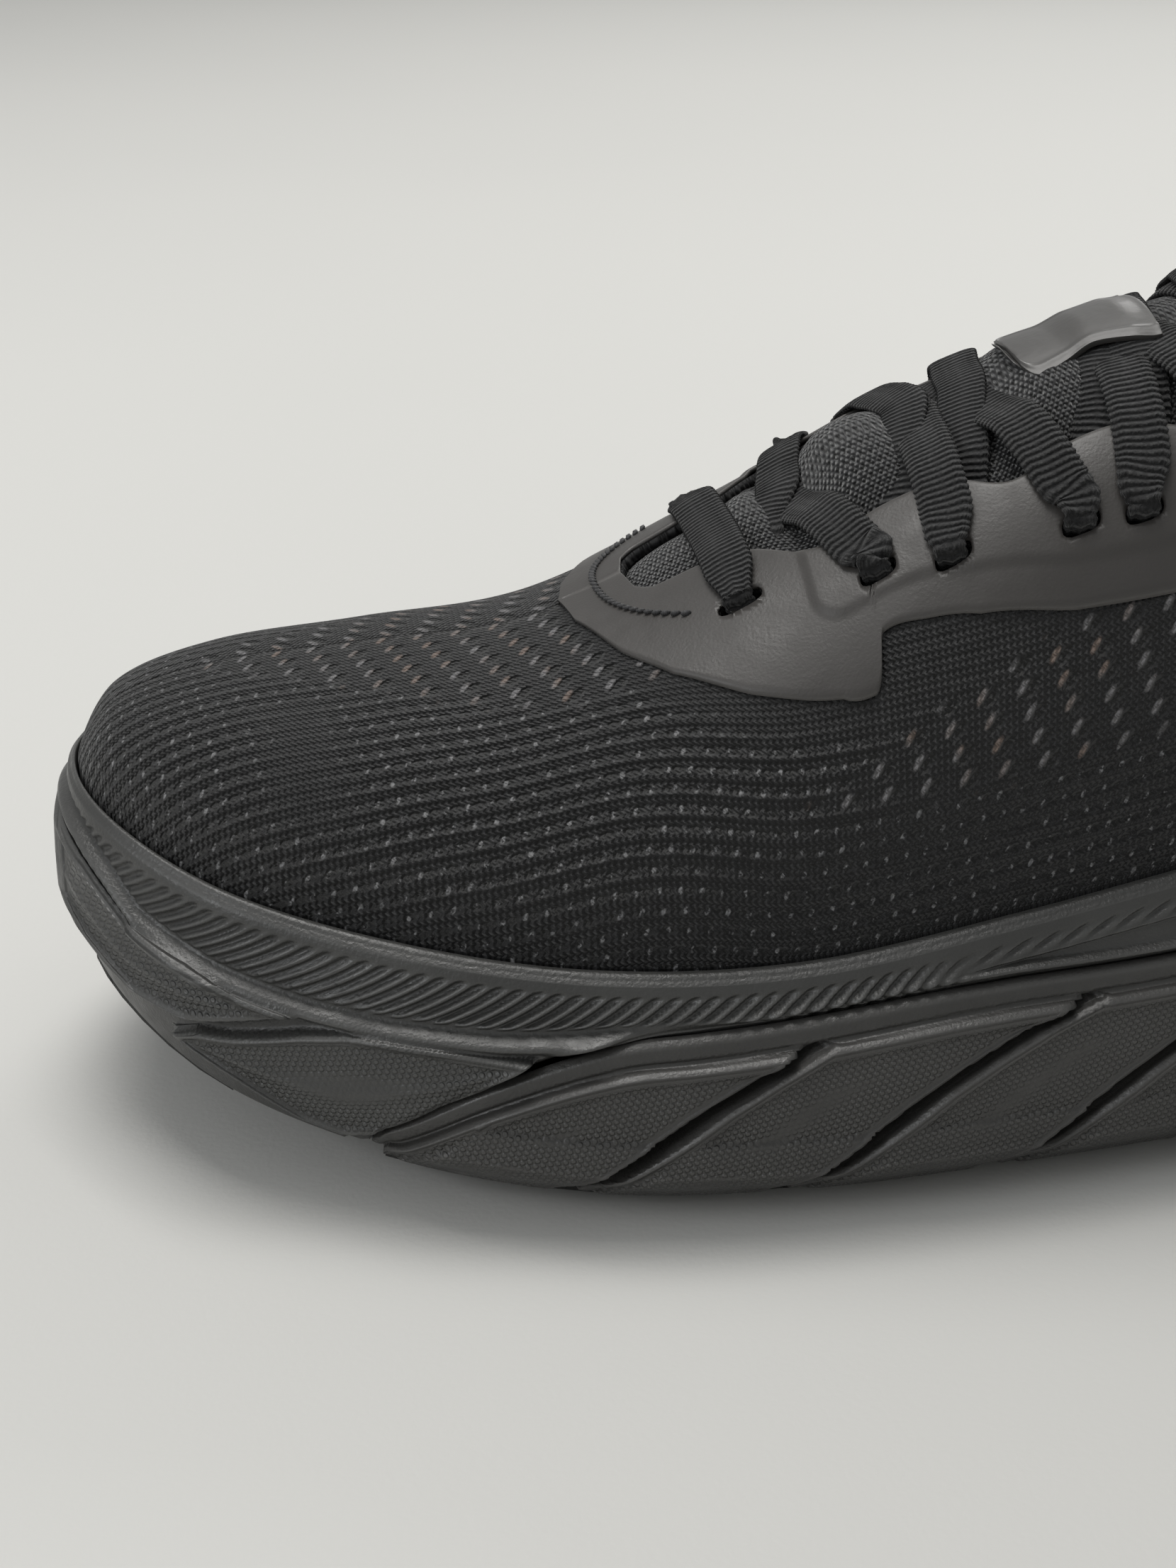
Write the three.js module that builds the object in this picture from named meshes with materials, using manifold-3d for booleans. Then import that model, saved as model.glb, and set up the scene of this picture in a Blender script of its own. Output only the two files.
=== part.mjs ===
// Running shoe for the left foot, with a thick two-piece foam midsole and a knitted upper.
// Millimetres. The toe points along -X, the outer (lateral) side along -Y, +Z is up.
// The ground is z = 0.
//
// The whole upper is drawn on one surface, S(c, q, depth):
//   c      station number along the last, 0 at the toe tip and 13 at the back of the heel
//   q      angle away from the instep line, 0 on it, negative to the lateral side,
//          and plus or minus a quarter turn where the upper meets the midsole's lip
//   depth  how far inside the knit's outer face a point lies (negative is outside)
import * as THREE from 'three';
import { mergeVertices } from 'three/addons/utils/BufferGeometryUtils.js';
import Module from 'manifold-3d';

const wasm = await Module();
wasm.setup();

// ---------- driving dimensions ----------
const SHOE_LENGTH = 300;
const SHOE_WIDTH = 107;
const SHOE_HEIGHT = 172;
const GAP = 0.3;                 // between pieces that touch
const PAD_THICKNESS = 3;         // outsole rubber
const KNIT_THICKNESS = 1.5;
const OVERLAY_THICKNESS = 0.7;   // eyestay and heel film
const FILM_LIFT = 0.45;          // from the knit to the film outside it and the tape inside it
const TAPE_THICKNESS = 0.8;      // webbing behind the eyelets
const PUFF_THICKNESS = 1.0;      // toe stiffener
const COUNTER_THICKNESS = 1.5;   // heel stiffener
const COLLAR_PADDING = 6;
const LINING_THICKNESS = 0.8;
const BOARD_THICKNESS = 1.2;     // strobel board
const SOCKLINER_THICKNESS = 4.5;
const SOCKLINER_COVER = 0.8;
const SOCKLINER_ROOM = 2.2;      // from the knit's inner face to the sockliner's edge
const TONGUE_THICKNESS = 5;
const FOLD_GAP = 2.8;            // left open where the tongue's top folds
const LACE_WIDTH = 7.5;
const LACE_THICKNESS = 1.3;
const LACE_PINCH = 4.4;          // width of the lace inside an eyelet
const EYELET_ROOM = 0.6;         // round the lace inside an eyelet
const AGLET_LENGTH = 20;
const AGLET_RADIUS = 1.6;
const KEEPER_THICKNESS = 1;
const KEEPER_WIDTH = 24;
const KEEPER_RISE = 4;           // of its ends over the instep line
const KEEPER_ARCH = 1.6;         // of its middle over its ends
const PULL_TAB_WIDTH = 16;
const PULL_TAB_HEIGHT = 17;
const PULL_TAB_DEPTH = 9;
const PULL_TAB_WEB = 1.6;
const WALL_INSET = 5;            // of the midsole's lip from the widest line
const BASE_INSET = 6.5;          // of the underside's edge from the widest line
const WIDEST_SHARE = 0.42;       // of the midsole's height where it is widest
const FOOT_BED_DEPTH = 6;        // least foam of the cradle under the foot bed

// Sections of the shoe, drawn at a length of 300, a width of 107 and a height of 172.
// x, lateral y, medial y of the midsole's widest line; z of the underside; z of the lip on
// the lateral and the medial side; lip width; z of the foot bed; x, y, z of the instep
// line; squareness of the section (2 is an ellipse).
const SECTIONS = [
  [-150, 8, 8, 24, 51, 51, 3.5, 42, -146.5, 8, 51, 2.3],
  [-145, -12, 27, 19, 49, 50, 4.5, 38, -140, 8, 60, 2.3],
  [-129, -32, 39, 11, 45, 47, 6, 32, -124, 8, 65, 2.3],
  [-104, -45.5, 47.5, 4.5, 41, 43, 7, 29, -102, 7, 67.5, 2.2],
  [-76, -53.5, 52, 1, 38.5, 41, 7.5, 27, -76, 6, 71, 2.2],
  [-46, -55.5, 51, 0, 38.5, 42, 8, 27, -46, 5, 86, 2.3],
  [-14, -53.5, 46, 0, 43, 46, 8, 28, -14, 3, 104.5, 2.4],
  [18, -50, 41, 0, 48, 51, 8, 30, 18, 1, 116.5, 2.5],
  [50, -48.5, 40, 0, 53, 55, 8, 31, 47, 0, 135.5, 2.6],
  [82, -48, 42.5, 0, 57, 58, 8, 32, 76, -1, 157, 2.7],
  [110, -45, 42.5, 1, 60, 60, 8, 33, 105, -1, 172, 2.9],
  [134, -34, 33, 6, 63, 63, 7, 35, 129, -1, 172, 3],
  [146, -18, 17, 11, 65, 65, 6.5, 37, 140, -1, 172, 3],
  [150, -1, -1, 14, 66, 66, 6, 38, 144, -1, 172, 3],
];
const LAST = SECTIONS.length - 1;
const LENGTH_SCALE = SHOE_LENGTH / 300;
const WIDTH_SCALE = SHOE_WIDTH / 107;
const HEIGHT_SCALE = SHOE_HEIGHT / 172;
const Y_CENTRE = 1.75;           // puts the widest lines equally far from y = 0

const LATERAL = -1;
const MEDIAL = 1;
const QUARTER = Math.PI / 2;

// Edge of the knit along the throat and the collar: station, angle from the instep line.
const TOPLINE = [
  [4.42, 0], [4.45, 0.1], [4.52, 0.15], [4.75, 0.17], [4.95, 0.22], [5.2, 0.37], [5.5, 0.36],
  [5.75, 0.4], [6, 0.52], [6.3, 0.47], [6.55, 0.48], [6.8, 0.57], [7.1, 0.5], [7.4, 0.5],
  [7.7, 0.6], [8, 0.78], [8.5, 1.05], [9, 1.22], [9.5, 1.28], [10, 1.27], [11, 1.19], [12, 1.1],
  [13, 1.06],
];
// Outer edge of the eyestay film: station, angle from the instep line.
const EYESTAY_EDGE = [
  [4.1, 0], [4.14, 0.14], [4.3, 0.38], [4.5, 0.56], [4.82, 0.76], [5.3, 0.92], [5.44, 0.88],
  [5.5, 0.8], [5.8, 0.88], [6.2, 0.96], [6.8, 1.02], [7.3, 1.04], [7.8, 1.03], [8.2, 1.06],
];
// Eyelets on each side: station, angle from the instep line.
const EYELETS = [
  [4.85, 0.42], [5.42, 0.58], [5.72, 0.66], [6.25, 0.74], [6.52, 0.77], [7.02, 0.74], [7.3, 0.76],
];
const FOLD_STATION = 7.75;       // where the tongue's top folds
const TONGUE_END = 8.75;

// ---------- curves and the shoe's surface ----------

// Catmull-Rom curve through four numbers.
function spline(a, b, c, d, t) {
  return 0.5 * (2 * b + (c - a) * t + (2 * a - 5 * b + 4 * c - d) * t * t
    + (3 * b - a - 3 * c + d) * t * t * t);
}

// One section as scaled numbers for one side. Rows past either end are the other side's,
// so that the toe and the heel come out round.
function sectionRow(index, side) {
  if (index < 0) return sectionRow(-index, -side);
  if (index > LAST) return sectionRow(2 * LAST - index, -side);
  const [x, yLateral, yMedial, under, lipLateral, lipMedial, lip, bed, tx, ty, tz, square] =
    SECTIONS[index];
  return [
    x * LENGTH_SCALE,
    ((side < 0 ? yLateral : yMedial) + Y_CENTRE) * WIDTH_SCALE,
    under * HEIGHT_SCALE,
    (side < 0 ? lipLateral : lipMedial) * HEIGHT_SCALE,
    lip,
    bed * HEIGHT_SCALE,
    tx * LENGTH_SCALE,
    (ty + Y_CENTRE) * WIDTH_SCALE,
    tz * HEIGHT_SCALE,
    square,
  ];
}

function section(c, side) {
  const i = Math.min(Math.floor(c), LAST - 1);
  const rows = [i - 1, i, i + 1, i + 2].map((index) => sectionRow(index, side));
  const v = rows[0].map((_, k) => spline(rows[0][k], rows[1][k], rows[2][k], rows[3][k], c - i));
  return { x: v[0], y: v[1], under: v[2], rim: v[3], lip: v[4], bed: v[5],
    top: new THREE.Vector3(v[6], v[7], v[8]), square: v[9] };
}

// A point of the plan outline moved inwards, at height z.
function planPoint(c, side, inset, z) {
  const step = 0.001;
  const here = section(c, side);
  const a = section(Math.max(c - step, 0), side);
  const b = section(Math.min(c + step, LAST), side);
  const along = new THREE.Vector2(b.x - a.x, b.y - a.y);
  if (c < step) along.set(0, side);
  if (c > LAST - step) along.set(0, -side);
  along.normalize();
  return new THREE.Vector3(here.x + along.y * side * inset, here.y - along.x * side * inset, z);
}

// Normal of the instep line in the XZ plane.
function instepNormal(c) {
  const a = section(Math.max(c - 0.05, 0), LATERAL).top;
  const b = section(Math.min(c + 0.05, LAST), LATERAL).top;
  return new THREE.Vector3(a.z - b.z, 0, b.x - a.x).normalize();
}

// Point of the upper.
function S(c, q, depth = 0) {
  const side = q < 0 ? LATERAL : MEDIAL;
  const here = section(c, side);
  const foot = planPoint(c, side, here.lip + depth, here.rim);
  const crown = here.top.clone().addScaledVector(instepNormal(c), -depth);
  const turn = QUARTER - Math.min(Math.abs(q), QUARTER);
  const out = Math.max(Math.cos(turn), 0) ** (2 / here.square);
  const up = Math.sin(turn) ** (2 / here.square);
  return new THREE.Vector3(
    crown.x + (foot.x - crown.x) * out,
    crown.y + (foot.y - crown.y) * out,
    foot.z + Math.max(crown.z - foot.z, 0) * up,
  );
}

// Outward normal of the upper.
function normalAt(c, q) {
  const e = 0.01;
  const side = q < 0 ? LATERAL : MEDIAL;
  const alongC = S(c + e, q).sub(S(c - e, q));
  const alongQ = S(c, q + side * e).sub(S(c, q - side * e));
  const normal = alongC.cross(alongQ).multiplyScalar(side).normalize();
  return normal;
}

// Value read off a list of [station, value] points along a smooth curve.
function readCurve(points, c) {
  const n = points.length - 1;
  if (c <= points[0][0]) return points[0][1];
  if (c >= points[n][0]) return points[n][1];
  let i = 0;
  while (points[i + 1][0] < c) i += 1;
  const t = (c - points[i][0]) / (points[i + 1][0] - points[i][0]);
  const at = (k) => points[Math.min(Math.max(k, 0), n)][1];
  return spline(at(i - 1), at(i), at(i + 1), at(i + 2), t);
}

function range(from, to, steps) {
  return Array.from({ length: steps + 1 }, (_, i) => from + ((to - from) * i) / steps);
}

// ---------- closed meshes ----------

// Collects four-cornered faces. Corners that coincide become one, and a face met again from
// its other side cancels it, so neighbouring patches join into one closed body.
class Skin {
  constructor() {
    this.points = [];
    this.indexOf = new Map();
    this.faces = new Map();
  }

  corner(p) {
    const key = [p.x, p.y, p.z].map((v) => Math.round(v * 2000)).join();
    if (!this.indexOf.has(key)) {
      this.indexOf.set(key, this.points.length);
      this.points.push(p);
    }
    return this.indexOf.get(key);
  }

  face(...corners) {
    const ids = corners.map((p) => this.corner(p)).filter((id, i, all) => all.indexOf(id) === i);
    if (ids.length < 3) return;
    const key = [...ids].sort((a, b) => a - b).join();
    if (this.faces.has(key)) this.faces.delete(key);
    else this.faces.set(key, ids);
  }

  // Patch between an outer and an inner grid of points, with walls round its border.
  slab(outer, inner) {
    const rows = outer.length - 1;
    const cols = outer[0].length - 1;
    for (let i = 0; i < rows; i += 1) {
      for (let j = 0; j < cols; j += 1) {
        this.face(outer[i][j], outer[i + 1][j], outer[i + 1][j + 1], outer[i][j + 1]);
        this.face(inner[i][j], inner[i][j + 1], inner[i + 1][j + 1], inner[i + 1][j]);
      }
    }
    for (let i = 0; i < rows; i += 1) {
      this.face(outer[i + 1][0], outer[i][0], inner[i][0], inner[i + 1][0]);
      this.face(outer[i][cols], outer[i + 1][cols], inner[i + 1][cols], inner[i][cols]);
    }
    for (let j = 0; j < cols; j += 1) {
      this.face(outer[0][j], outer[0][j + 1], inner[0][j + 1], inner[0][j]);
      this.face(outer[rows][j + 1], outer[rows][j], inner[rows][j], inner[rows][j + 1]);
    }
  }

  // Tube through closed loops, with flat ends where a loop has not shrunk to nothing.
  tube(loops, capped) {
    const count = loops[0].length;
    for (let i = 0; i < loops.length - 1; i += 1) {
      for (let j = 0; j < count; j += 1) {
        const k = (j + 1) % count;
        this.face(loops[i][j], loops[i + 1][j], loops[i + 1][k], loops[i][k]);
      }
    }
    if (!capped) return;
    const end = loops[loops.length - 1];
    for (let j = 0; j < count / 2 - 1; j += 1) {
      const k = count - 1 - j;
      this.face(loops[0][j], loops[0][j + 1], loops[0][k - 1], loops[0][k]);
      this.face(end[k], end[k - 1], end[j + 1], end[j]);
    }
  }

  geometry() {
    const triangles = [];
    for (const ids of this.faces.values()) {
      const [p0, p1, p2, p3] = ids.map((id) => this.points[id]);
      const turned = p3 && p1.distanceTo(p3) < p0.distanceTo(p2) ? [...ids.slice(1), ids[0]] : ids;
      for (let i = 1; i < ids.length - 1; i += 1) {
        triangles.push([turned[0], turned[i], turned[i + 1]]);
      }
    }
    let volume = 0;
    for (const [a, b, c] of triangles) {
      const [p, q, r] = [this.points[a], this.points[b], this.points[c]];
      volume += p.dot(q.clone().cross(r));
    }
    const index = triangles.flatMap(([a, b, c]) => (volume < 0 ? [a, c, b] : [a, b, c]));
    const geometry = new THREE.BufferGeometry();
    geometry.setAttribute('position',
      new THREE.Float32BufferAttribute(this.points.flatMap((p) => [p.x, p.y, p.z]), 3));
    geometry.setIndex(index);
    return geometry;
  }
}

function slabGeometry(outer, inner) {
  const skin = new Skin();
  skin.slab(outer, inner);
  return skin.geometry();
}

// ---------- joining and cutting ----------

function toManifold(geometry) {
  const vertProperties = Float32Array.from(geometry.getAttribute('position').array);
  const triVerts = Uint32Array.from(geometry.getIndex().array);
  return new wasm.Manifold(new wasm.Mesh({ numProp: 3, vertProperties, triVerts }));
}

function fromManifold(solid) {
  const mesh = solid.getMesh();
  const geometry = new THREE.BufferGeometry();
  geometry.setAttribute('position', new THREE.Float32BufferAttribute(mesh.vertProperties, 3));
  geometry.setIndex([...mesh.triVerts]);
  return geometry;
}

function cutAll(geometry, cutters) {
  let solid = toManifold(geometry);
  for (const cutter of cutters) solid = solid.subtract(toManifold(cutter));
  return fromManifold(solid);
}

function joinAll(geometries) {
  let solid = toManifold(geometries[0]);
  for (const geometry of geometries.slice(1)) solid = solid.add(toManifold(geometry));
  return fromManifold(solid);
}

// ---------- materials ----------

function paint(colour, roughness) {
  return new THREE.MeshStandardMaterial({ color: colour, roughness, metalness: 0 });
}

const FOAM_DARK = paint(0x3a3b38, 0.75);
const FOAM_BROWN = paint(0x3b3836, 0.7);
const RUBBER = paint(0x2a2a2a, 0.8);
const KNIT = paint(0x1f2023, 0.95);
const FILM = paint(0x3c3836, 0.45);
const LINING = paint(0x202124, 0.95);
const WEBBING = paint(0x232427, 0.9);
const STIFFENER = paint(0x8a8478, 0.6);
const BOARD = paint(0xcfcabd, 0.9);
const KEEPER = paint(0x6d6a68, 0.3);
const PLASTIC = paint(0x18181a, 0.35);

const shoe = new THREE.Group();

function addPiece(name, geometry, material) {
  const mesh = new THREE.Mesh(geometry, material);
  mesh.name = name;
  shoe.add(mesh);
  return mesh;
}

// ---------- midsole ----------

const SOLE_ROWS = [0, 0.3, 0.65, ...range(1, 5.5, 9), 6.5, 7.5, ...range(8.5, 12, 7), 12.35,
  12.7, 13];
const SPLIT_START = 2.7;         // station where the lower foam piece begins

// How far below the lip the two foam pieces meet on the side wall: station, distance.
const PARTING = [
  [2.7, 36], [2.96, 27], [3.52, 16], [4.06, 9], [4.52, 7], [5.2, 6], [5.8, 7], [6.66, 10],
  [8, 12], [10, 13.5], [13, 14],
];

// Height on the side wall of the line between the two foam pieces.
function partingHeight(c, side) {
  const start = baseAt(c, side) + PAD_THICKNESS + GAP;
  if (c <= SPLIT_START) return start;
  return Math.max(section(c, side).rim - readCurve(PARTING, c) * HEIGHT_SCALE, start);
}

// Inset of the side wall from the widest line, at a share of the wall's height.
function wallInset(share) {
  if (share <= WIDEST_SHARE) return BASE_INSET * (1 - share / WIDEST_SHARE) ** 2;
  return WALL_INSET * ((share - WIDEST_SHARE) / (1 - WIDEST_SHARE)) ** 2.4;
}

// Station whose widest line is at x.
function stationAt(x) {
  let low = 0;
  let high = LAST;
  for (let i = 0; i < 30; i += 1) {
    const middle = (low + high) / 2;
    if (section(middle, LATERAL).x < x) low = middle;
    else high = middle;
  }
  return low;
}

// Height of the tread's underside at x.
function underAt(x) {
  return section(stationAt(x), LATERAL).under;
}

// Share of the full insets at a section, less where the lip narrows at the ends.
function narrowing(c, side) {
  return Math.min(section(c, side).lip / 8, 1);
}

// Height of the underside's edge.
function baseAt(c, side) {
  return underAt(planPoint(c, side, BASE_INSET * narrowing(c, side), 0).x);
}

function wallPoint(c, side, z) {
  const base = baseAt(c, side);
  const share = (z - base) / (section(c, side).rim - base);
  return planPoint(c, side, wallInset(share) * narrowing(c, side), z);
}

const PARTING_LEDGE = 1.5;       // least overlap of the two foam pieces inside the side wall

// How far in from the widest line the two foam pieces meet under the foot bed.
function partingInset(c, side, z) {
  const base = baseAt(c, side);
  const here = section(c, side);
  const wall = wallInset((z - base) / (here.rim - base)) * narrowing(c, side);
  return Math.max(here.lip * 2 / 3, wall + PARTING_LEDGE);
}

// Half a section's points of a level layer, from the middle to an inset edge.
function acrossBed(c, side, inset, z, shares) {
  const edge = planPoint(c, side, inset, z);
  const middle = planPoint(c, LATERAL, inset, z).add(planPoint(c, MEDIAL, inset, z));
  middle.multiplyScalar(0.5);
  return shares.map((share) => middle.clone().lerp(edge, share));
}

const BED_SHARES = [0, 0.5, 1];

// The same along the underside, which curves up at the toe and the heel.
function acrossUnder(c, side, lift, shares) {
  const points = acrossBed(c, side, BASE_INSET * narrowing(c, side), 0, shares);
  points.forEach((point) => point.setZ(underAt(point.x) + lift));
  return points;
}

function bedDepth(c, side) {
  return section(c, side).bed - BOARD_THICKNESS - 2 * GAP;
}

// The upper foam piece: a cradle with a raised lip, and the whole of the toe.
function carrierHalf(c, side) {
  const here = section(c, side);
  const sideZ = partingHeight(c, side);
  const innerZ = Math.min(sideZ, bedDepth(c, side) - FOOT_BED_DEPTH);
  const wall = range(sideZ, here.rim - 1, 5).map((z) => wallPoint(c, side, z));
  const lipInner = here.lip - GAP;
  const bottom = c > SPLIT_START
    ? acrossBed(c, side, partingInset(c, side, sideZ), innerZ, BED_SHARES)
    : acrossUnder(c, side, PAD_THICKNESS + GAP, BED_SHARES);
  return [
    ...bottom,
    ...wall,
    planPoint(c, side, WALL_INSET * narrowing(c, side) + 0.6, here.rim),
    planPoint(c, side, lipInner - 0.5, here.rim),
    planPoint(c, side, lipInner, here.rim - 0.8),
    planPoint(c, side, lipInner, bedDepth(c, side)),
    ...acrossBed(c, side, lipInner, bedDepth(c, side), [0.66, 0.33, 0]),
  ];
}

function wholeLoop(half, c) {
  const lateral = half(c, LATERAL);
  const medial = half(c, MEDIAL);
  return [...lateral, ...medial.slice(1, -1).reverse()];
}

function makeCarrier() {
  const skin = new Skin();
  const rows = [...SOLE_ROWS, SPLIT_START].sort((a, b) => a - b);
  skin.tube(rows.map((c) => wholeLoop(carrierHalf, c)), false);
  addPiece('midsole_carrier', skin.geometry(), FOAM_DARK);
}

// The lower foam piece: the row of blocks, from the ball of the foot to the heel.
function blocksHalf(c, side) {
  const lift = PAD_THICKNESS + GAP;
  const topZ = partingHeight(c, side) - GAP;
  const innerZ = Math.min(topZ, bedDepth(c, side) - FOOT_BED_DEPTH - GAP);
  const wall = range(baseAt(c, side) + lift + 0.2, topZ, 4).map((z) => wallPoint(c, side, z));
  return [
    ...acrossUnder(c, side, lift, BED_SHARES),
    ...wall,
    ...acrossBed(c, side, partingInset(c, side, topZ) - GAP, innerZ, [1, 0.5, 0]),
  ];
}

function makeBlocks() {
  const skin = new Skin();
  const rows = [SPLIT_START + 0.12, ...SOLE_ROWS.filter((c) => c > SPLIT_START + 0.2)];
  const loops = rows.map((c) => wholeLoop(blocksHalf, c));
  skin.tube(loops, false);
  const half = loops[0].length / 2;
  for (let j = 0; j < half - 1; j += 1) {
    const mirror = (k) => (k === 0 ? 0 : loops[0].length - k);
    skin.face(loops[0][j], loops[0][j + 1], loops[0][mirror(j + 1)], loops[0][mirror(j)]);
  }
  skin.face(loops[0][half - 1], loops[0][half], loops[0][half + 1]);
  addPiece('midsole_blocks', skin.geometry(), FOAM_BROWN);
}

// Outsole rubber: name, first and last station, side, inner and outer share of the width.
const PADS = [
  ['outsole_toe', 0.45, 2.0, 0, 0, 0.9],
  ['outsole_fore_lateral', 2.9, 4.2, LATERAL, 0.25, 0.95],
  ['outsole_fore_medial', 2.9, 4.2, MEDIAL, 0.25, 0.95],
  ['outsole_ball_lateral', 4.5, 5.7, LATERAL, 0.25, 0.95],
  ['outsole_ball_medial', 4.5, 5.7, MEDIAL, 0.25, 0.95],
  ['outsole_mid_lateral', 6.9, 8.3, LATERAL, 0.45, 0.95],
  ['outsole_heel_lateral', 9.2, 12.2, LATERAL, 0.4, 0.95],
  ['outsole_heel_medial', 9.2, 12.2, MEDIAL, 0.4, 0.95],
];

function makePad([name, from, to, side, inner, outer]) {
  const rows = range(from, to, 6);
  const columns = side === 0
    ? range(-outer, outer, 6).map((share) => [share < 0 ? LATERAL : MEDIAL, Math.abs(share)])
    : range(inner, outer, 3).map((share) => [side, share]);
  const grid = (lift) => rows.map(
    (c) => columns.map(([s, share]) => acrossUnder(c, s, lift, [share])[0]),
  );
  addPiece(name, slabGeometry(grid(PAD_THICKNESS), grid(0)), RUBBER);
}

// ---------- foot bed ----------

const BED_ROWS = [0, 0.35, 0.7, ...range(1, 12, 22), 12.35, 12.7, 13];

function makeBedLayer(name, inset, low, high, material) {
  const shares = [-1, 0, 1];
  const layer = (lift) => BED_ROWS.map((c) => shares.map((share) => {
    const side = share < 0 ? LATERAL : MEDIAL;
    const here = section(c, side);
    const z = here.bed - BOARD_THICKNESS - GAP + lift;
    return acrossBed(c, side, here.lip + inset, z, [Math.abs(share)])[0];
  }));
  addPiece(name, slabGeometry(layer(high), layer(low)), material);
}

function makeBed() {
  const sockBase = BOARD_THICKNESS + GAP;
  const coverBase = sockBase + SOCKLINER_THICKNESS + GAP;
  makeBedLayer('strobel_board', KNIT_THICKNESS + GAP, 0, BOARD_THICKNESS, BOARD);
  const inset = KNIT_THICKNESS + SOCKLINER_ROOM;
  makeBedLayer('sockliner_foam', inset, sockBase, sockBase + SOCKLINER_THICKNESS, LINING);
  makeBedLayer('sockliner_cover', inset, coverBase, coverBase + SOCKLINER_COVER, KNIT);
}

// ---------- upper ----------

const UPPER_ROWS = [0, 0.3, 0.6, 1, 1.5, 2, 2.5, 3, 3.5, 4, 4.2, 4.42, 4.5, 4.62, 4.75, 4.95, 5.2,
  5.5, 5.75, 6, 6.3, 6.55, 6.8, 7.1, 7.4, 7.7, 8, 8.5, 9, 9.5, 10, 10.5, 11, 11.5, 12, 12.4,
  12.7, 13];

// One side's column of points, from the feather line under the lip to the top edge.
function upperColumn(c, side, depth, from, to, steps) {
  return range(from, to, steps).map((turn) => S(c, side * (QUARTER - turn), depth));
}

const KNIT_STEPS = 7;            // faces of the knit from the lip to the instep line

function knitColumn(c, side, depth) {
  const here = section(c, side);
  const edge = QUARTER - readCurve(TOPLINE, c);
  const tuck = planPoint(c, side, here.lip + depth, here.bed - BOARD_THICKNESS);
  return [tuck, ...upperColumn(c, side, depth, 0, edge, KNIT_STEPS)];
}

function makeKnit(cutters) {
  const skin = new Skin();
  for (const side of [LATERAL, MEDIAL]) {
    const grid = (depth) => UPPER_ROWS.map((c) => knitColumn(c, side, depth));
    if (side === LATERAL) skin.slab(grid(0), grid(KNIT_THICKNESS));
    else skin.slab(grid(KNIT_THICKNESS), grid(0));
  }
  addPiece('upper_knit', cutAll(skin.geometry(), cutters), KNIT);
}

// The film round the throat, ruled between the throat's edge and the film's outer edge.
function makeEyestay(cutters) {
  const rows = [4.1, 4.14, 4.22, 4.3, 4.42, 4.5, 4.62, 4.75, 4.95, 5.2, 5.5, 5.75, 6, 6.3, 6.55,
    6.8, 7.1, 7.4, 7.7];
  const skin = new Skin();
  for (const side of [LATERAL, MEDIAL]) {
    const grid = (depth) => rows.map((c) => {
      const inner = c < TOPLINE[0][0] ? 0 : readCurve(TOPLINE, c);
      const outer = readCurve(EYESTAY_EDGE, c);
      return range(outer, inner, 5).map((q) => S(c, side * q, depth));
    });
    const low = grid(-FILM_LIFT);
    const high = grid(-FILM_LIFT - OVERLAY_THICKNESS);
    if (side === LATERAL) skin.slab(high, low);
    else skin.slab(low, high);
  }
  addPiece('eyestay_film', cutAll(skin.geometry(), cutters), FILM);
}

const TAPE_START = 4.62;         // stations of the tape's ends
const TAPE_END = 7.5;
const TAPE_SPAN = 0.42;          // its width, as an angle

// Webbing behind the eyelets.
function makeTape(name, side, cutters) {
  const rows = range(TAPE_START, TAPE_END, 14);
  const depth = KNIT_THICKNESS + FILM_LIFT;
  const grid = (d) => rows.map((c) => {
    const edge = readCurve(TOPLINE, c) + 0.03;
    return range(edge + TAPE_SPAN, edge, 4).map((q) => S(c, side * q, d));
  });
  const geometry = slabGeometry(grid(depth), grid(depth + TAPE_THICKNESS));
  addPiece(name, cutAll(geometry, cutters), WEBBING);
}

function makeToePuff() {
  const skin = new Skin();
  const rows = UPPER_ROWS.filter((c) => c >= 0.3 && c <= 2);
  const step = QUARTER / KNIT_STEPS;
  const depth = KNIT_THICKNESS + GAP;
  for (const side of [LATERAL, MEDIAL]) {
    const grid = (d) => rows.map((c) => upperColumn(c, side, d, step, QUARTER, KNIT_STEPS - 1));
    if (side === LATERAL) skin.slab(grid(depth), grid(depth + PUFF_THICKNESS));
    else skin.slab(grid(depth + PUFF_THICKNESS), grid(depth));
  }
  addPiece('toe_puff', skin.geometry(), STIFFENER);
}

// A stiffener or pad bent round the heel from one side to the other. A deep one goes on
// down inside the lip to the foot bed.
function heelShell(from, lower, upper, depth, thickness, steps, deep = false) {
  const skin = new Skin();
  const rows = UPPER_ROWS.filter((c) => c >= from);
  for (const side of [LATERAL, MEDIAL]) {
    const foot = (c, d) => {
      const here = section(c, side);
      return deep ? [planPoint(c, side, here.lip + d, here.bed + GAP)] : [];
    };
    const grid = (d) => rows.map(
      (c) => [...foot(c, d), ...upperColumn(c, side, d, lower(c), upper(c), steps)],
    );
    if (side === LATERAL) skin.slab(grid(depth), grid(depth + thickness));
    else skin.slab(grid(depth + thickness), grid(depth));
  }
  return skin.geometry();
}

const collarEdge = (c) => QUARTER - readCurve(TOPLINE, c);
const COUNTER_SHARE = 0.42;      // height of the counter's top, as a share of the collar's edge
const COLLAR_SHARE = 0.48;       // height of the padding's foot

function makeHeelCounter() {
  const lower = () => 0;
  const upper = (c) => collarEdge(c) * COUNTER_SHARE;
  const depth = KNIT_THICKNESS + GAP;
  const geometry = heelShell(9.5, lower, upper, depth, COUNTER_THICKNESS, 3, true);
  addPiece('heel_counter', geometry, STIFFENER);
}

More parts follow.
